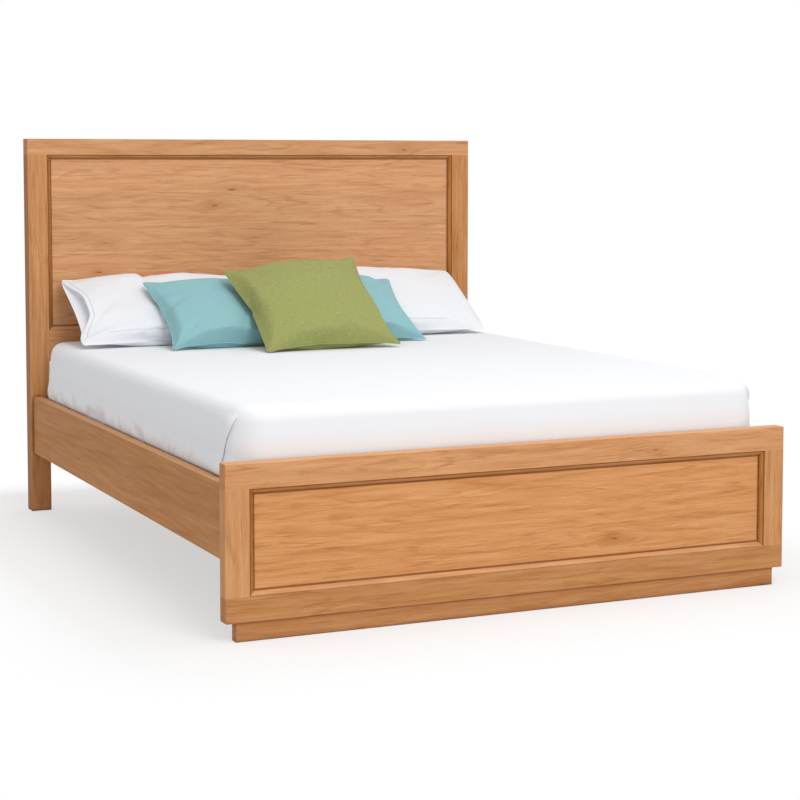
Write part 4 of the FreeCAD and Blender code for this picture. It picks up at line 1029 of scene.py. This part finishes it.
class BED_OT_pillows(bpy.types.Operator):
    """Two white pillows leaning on the headboard, with the open ends of their cases on the left"""

    bl_idname = "bed.pillows"
    bl_label = "Pillows"

    form = {
        **PLAIN_FORM, "draw": (0.004, -0.008), "rise": 0.034, "lift": 0.006, "sag": 0.008, "round": 0.01,
    }
    creases = [
        ((-0.078, 0.45), (-0.05, 0.30), 26 * MM, 60 * MM),
        ((-0.035, 0.44), (0.005, 0.36), 8 * MM, 30 * MM),
        ((-0.11, 0.02), (-0.16, 0.16), 7 * MM, 26 * MM),
        ((-0.055, 0.02), (-0.10, 0.17), 8 * MM, 26 * MM),
        ((-0.30, 0.36), (-0.26, 0.24), 6 * MM, 30 * MM),
        ((-0.27, 0.13), (-0.19, 0.22), 6 * MM, 40 * MM),
    ]
    height = 0.402
    crowns, volume = (0.056, 0.042), 0.0150

    def execute(self, context):
        linen, cushions = context.scene.bed_linen, context.scene.bed_cushions
        cotton = woven_material(
            "white cotton pillowcase", linen.case, linen.thread, 0.02, 0.12,
            stitches=[(0, 0.048, 0.14, 0.56), (1, 0.075, 0.06, 0.37)],
        )
        for start, name in enumerate(("left_pillow", "right_pillow")):
            low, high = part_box(name)
            width = high.x - low.x
            front, back = fill(1.06 * width, 1.09 * self.height, self.volume, 3.0 + 5 * start)
            fit(front, back, width, self.height, self.crowns, 1.25, 1.15)
            shape((front, back), width, self.height, self.form)
            crumple((front, back), width, self.height, 9 * MM, 2.0 + start)
            open_end(front, back, self.height, 32 * MM, 40 * MM)
            if name == "left_pillow":
                for begin, end, depth, reach in self.creases:
                    crease(front, begin, end, depth, reach)
            points, faces, flat = cover_mesh(front, back, 1.5 * MM)
            foot = HEAD_FACE - 4 * MM - 0.42 * math.cos(cushions.lean)
            laid = lay(points, (low.x + high.x) / 2, foot, cushions.lean, 0.0)
            laid = seat(laid, BED_TOP, HEAD_FACE - 0.6 * MM)
            finish_cover(f"{name}_case", laid, faces, flat, cotton, name)
        return {"FINISHED"}


class BED_OT_cushions(bpy.types.Operator):
    """Two aqua cushions in front of the pillows"""

    bl_idname = "bed.cushions"
    bl_label = "Cushions"

    height = 0.41
    crowns, volume = (0.074, 0.021), 0.0072
    forms = {
        "left_cushion": {
            **PLAIN_FORM, "draw": (0.022, 0.018), "rise": 0.006, "lift": 0.028, "sag": 0.016,
            "filling": (1.3, 1.65),
            "creases": [
                ((-0.2, 0.19), (-0.11, 0.225), 16 * MM, 34 * MM),
                ((-0.2, 0.30), (-0.13, 0.27), 8 * MM, 34 * MM),
                ((0.05, 0.03), (0.075, 0.12), 5 * MM, 30 * MM),
            ],
        },
        "right_cushion": {
            **PLAIN_FORM, "draw": (0.018, 0.022), "rise": 0.004, "lift": 0.024, "sag": 0.016, "skew": -0.06,
            "filling": (1.3, 1.65), "creases": [((0.2, 0.2), (0.12, 0.21), 5 * MM, 30 * MM)],
        },
    }

    def execute(self, context):
        cushions = context.scene.bed_cushions
        seams = [(0, 0.0, 0.0, 0.4), (1, 0.0, 0.0, 0.4)]
        aqua = woven_material("aqua cotton canvas", cushions.aqua, cushions.thread, 0.08, 0.04, seams)
        for start, (name, form) in enumerate(self.forms.items()):
            low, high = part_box(name)
            width = high.x - low.x
            size = width, self.height
            front, back = sewn_cushion(*size, self.crowns, self.volume, form, 20.0 + 7 * start, cushions)
            points, faces, flat = cover_mesh(front, back, cushions.lip)
            foot = high.y - self.height * math.cos(cushions.lean) + 2 * MM
            laid = seat(lay(points, (low.x + high.x) / 2, foot, cushions.lean, 0.0), BED_TOP)
            finish_cover(f"{name}_cover", laid, faces, flat, aqua, name)
        return {"FINISHED"}


class BED_OT_accent(bpy.types.Operator):
    """The green accent cushion in front, its top right corner pulled forward"""

    bl_idname = "bed.accent"
    bl_label = "Accent cushion"

    form = {
        **PLAIN_FORM, "draw": (0.004, 0.006), "rise": 0.0, "lift": 0.02, "sag": 0.02, "twist": 0.040,
        "filling": (1.1, 1.2), "creases": [((-0.23, 0.2), (-0.16, 0.22), 5 * MM, 35 * MM)],
    }
    width, height = 0.495, 0.49
    crowns, volume = (0.086, 0.031), 0.0116
    turn = math.radians(1.5)

    def execute(self, context):
        cushions = context.scene.bed_cushions
        seams = [(0, 0.0, 0.0, 0.48), (1, 0.0, 0.0, 0.48), (1, 0.483, 0.0, 0.48)]
        green = woven_material("green slub linen", cushions.green, cushions.thread, 0.4, 0.04, seams)
        low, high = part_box("accent_cushion")
        size = self.width, self.height
        front, back = sewn_cushion(*size, self.crowns, self.volume, self.form, 34.0, cushions)
        points, faces, flat = cover_mesh(front, back, cushions.lip)
        foot = high.y - self.height * math.cos(cushions.lean) - 2 * MM
        middle = (low.x + high.x) / 2 + 10 * MM
        laid = seat(lay(points, middle, foot, cushions.lean, self.turn), BED_TOP)
        finish_cover("accent_cushion_cover", laid, faces, flat, green, "accent_cushion")
        return {"FINISHED"}


class BED_OT_stage(bpy.types.Operator):
    """Pale floor, soft studio light and the camera"""

    bl_idname = "bed.stage"
    bl_label = "Stage"

    # Place, target and size of each softbox
    softboxes = {
        "top": ((0.5, -0.9, 3.9), (0.0, -0.2, 0.0), 3.6),
        "front": ((0.0, -4.9, 4.2), (0.0, 0.0, 0.6), 2.4),
    }
    viewpoint = (-2.4645, -5.6764, 1.2383)
    looks_down, looks_right = math.radians(4.14), math.radians(24.43)
    floor_level = -0.5 * MM
    floor_points = 72
    floor_rings = [0.6, 1.4, 2.2, 3.0, 3.8, 4.6, 5.4]
    # How far outside the bed's footprint the floor begins and ends to fade, and how clear the eye sees it
    floor_fade = (-0.1, 0.6)
    floor_clear = 0.55

    def execute(self, context):
        stage = context.scene.bed_stage
        self.floor(stage)
        for name, box in self.softboxes.items():
            self.light(f"{name} softbox", getattr(stage, f"{name}_light"), *box)
        world = bpy.data.worlds.new("studio")
        world.use_nodes = True
        tree = world.node_tree
        tree.nodes.clear()
        even = add_node(tree, "Background", {"Color": (1, 1, 1, 1), "Strength": stage.sky})
        seen = add_node(tree, "Background", {"Color": (1, 1, 1, 1), "Strength": 1.0})
        eye = add_node(tree, "LightPath")["Is Camera Ray"]
        both = add_node(tree, "MixShader", [eye, even[0], seen[0]])
        add_node(tree, "OutputWorld", [both[0]])
        context.scene.world = world
        context.scene.view_settings.view_transform = "Standard"
        self.camera(context, stage)
        return {"FINISHED"}

    def floor(self, stage):
        """A round floor that fades into the white round the bed."""
        rim = self.floor_points
        points, faces = [(0.0, 0.0, self.floor_level)], []
        for radius in self.floor_rings:
            for k in range(rim):
                angle = TURN * k / rim
                points.append((radius * math.cos(angle), radius * math.sin(angle), self.floor_level))
        for k in range(rim):
            n = (k + 1) % rim
            faces.append((0, 1 + k, 1 + n))
            for ring in range(len(self.floor_rings) - 1):
                a, b = 1 + ring * rim, 1 + (ring + 1) * rim
                faces.append((a + k, b + k, b + n, a + n))
        mesh = bpy.data.meshes.new("floor")
        mesh.from_pydata(points, [], faces)
        floor = bpy.data.objects.new("floor", mesh)
        bpy.context.scene.collection.objects.link(floor)
        material, tree = new_material("matt studio floor")
        place = add_node(tree, "TexCoord")["Object"]
        far = add_node(tree, "VectorMath", [place], operation="ABSOLUTE")[0]
        far = add_node(tree, "VectorMath", [far, tuple(CAD_BOX[1])], operation="SUBTRACT")[0]
        far = add_node(tree, "VectorMath", [far, (0, 0, 0)], operation="MAXIMUM")[0]
        far = add_node(tree, "VectorMath", [far], operation="LENGTH")["Value"]
        fade = [far, *self.floor_fade, 0.0, 1.0]
        fade = add_node(tree, "MapRange", fade, interpolation_type="SMOOTHSTEP")[0]
        matt = add_node(
            tree, "BsdfPrincipled",
            {"Base Color": tuple(stage.floor), "Roughness": 0.9, "Specular IOR Level": 0.1},
        )
        clear = add_node(tree, "BsdfTransparent")
        eye = add_node(tree, "LightPath")["Is Camera Ray"]
        lift = add_node(tree, "Math", [eye, self.floor_clear], operation="MULTIPLY")[0]
        fade = add_node(tree, "Math", [fade, lift], operation="MAXIMUM")[0]
        both = add_node(tree, "MixShader", [fade, matt[0], clear[0]])
        add_node(tree, "OutputMaterial", [both[0]])
        mesh.materials.append(material)

    def light(self, name, power, place, target, size):
        """A square softbox aimed at a point."""
        lamp = bpy.data.lights.new(name, "AREA")
        lamp.energy = power
        lamp.size = size
        holder = bpy.data.objects.new(name, lamp)
        holder.location = place
        holder.rotation_euler = (Vector(target) - Vector(place)).to_track_quat("-Z", "Y").to_euler()
        bpy.context.scene.collection.objects.link(holder)

    def camera(self, context, stage):
        """The photograph's viewpoint, looking a little down and along the bed's left side."""
        lens = bpy.data.cameras.new("camera")
        lens.lens = stage.lens
        lens.sensor_width = 36
        lens.shift_y = -0.125
        lens.clip_end = 100
        holder = bpy.data.objects.new("camera", lens)
        holder.location = self.viewpoint
        holder.rotation_euler = (math.radians(90) - self.looks_down, 0, -self.looks_right)
        context.scene.collection.objects.link(holder)
        context.scene.camera = holder


class BED_PT_panel(bpy.types.Panel):
    """Lists the steps that dress the bed"""

    bl_idname = "BED_PT_panel"
    bl_label = "Wooden bed"
    bl_space_type = "VIEW_3D"
    bl_region_type = "UI"
    bl_category = "Bed"

    def draw(self, context):
        for operator in STEPS:
            self.layout.operator(operator.bl_idname)
        for group in GROUPS:
            box = self.layout.box()
            settings = getattr(context.scene, group)
            for name in settings.bl_rna.properties.keys():
                if name not in ("rna_type", "name"):
                    box.prop(settings, name)


GROUPS = {
    "bed_timber": BedTimberSettings,
    "bed_inner": BedInnerSettings,
    "bed_linen": BedLinenSettings,
    "bed_cushions": BedCushionSettings,
    "bed_stage": BedStageSettings,
}
STEPS = [
    BED_OT_timber,
    BED_OT_base,
    BED_OT_mattress,
    BED_OT_sheet,
    BED_OT_pillows,
    BED_OT_cushions,
    BED_OT_accent,
    BED_OT_stage,
]
CLASSES = [*GROUPS.values(), *STEPS, BED_PT_panel]


def register():
    """Makes the settings, operators and panel known to Blender."""
    for kind in CLASSES:
        bpy.utils.register_class(kind)
    for name, kind in GROUPS.items():
        setattr(bpy.types.Scene, name, bpy.props.PointerProperty(type=kind))


def unregister():
    """Takes them away again."""
    for name in GROUPS:
        delattr(bpy.types.Scene, name)
    for kind in reversed(CLASSES):
        bpy.utils.unregister_class(kind)


def main():
    """Dresses the bed step by step."""
    register()
    bpy.ops.bed.timber()
    bpy.ops.bed.base()
    bpy.ops.bed.mattress()
    bpy.ops.bed.sheet()
    bpy.ops.bed.pillows()
    bpy.ops.bed.cushions()
    bpy.ops.bed.accent()
    bpy.ops.bed.stage()


if __name__ == "__main__":
    main()
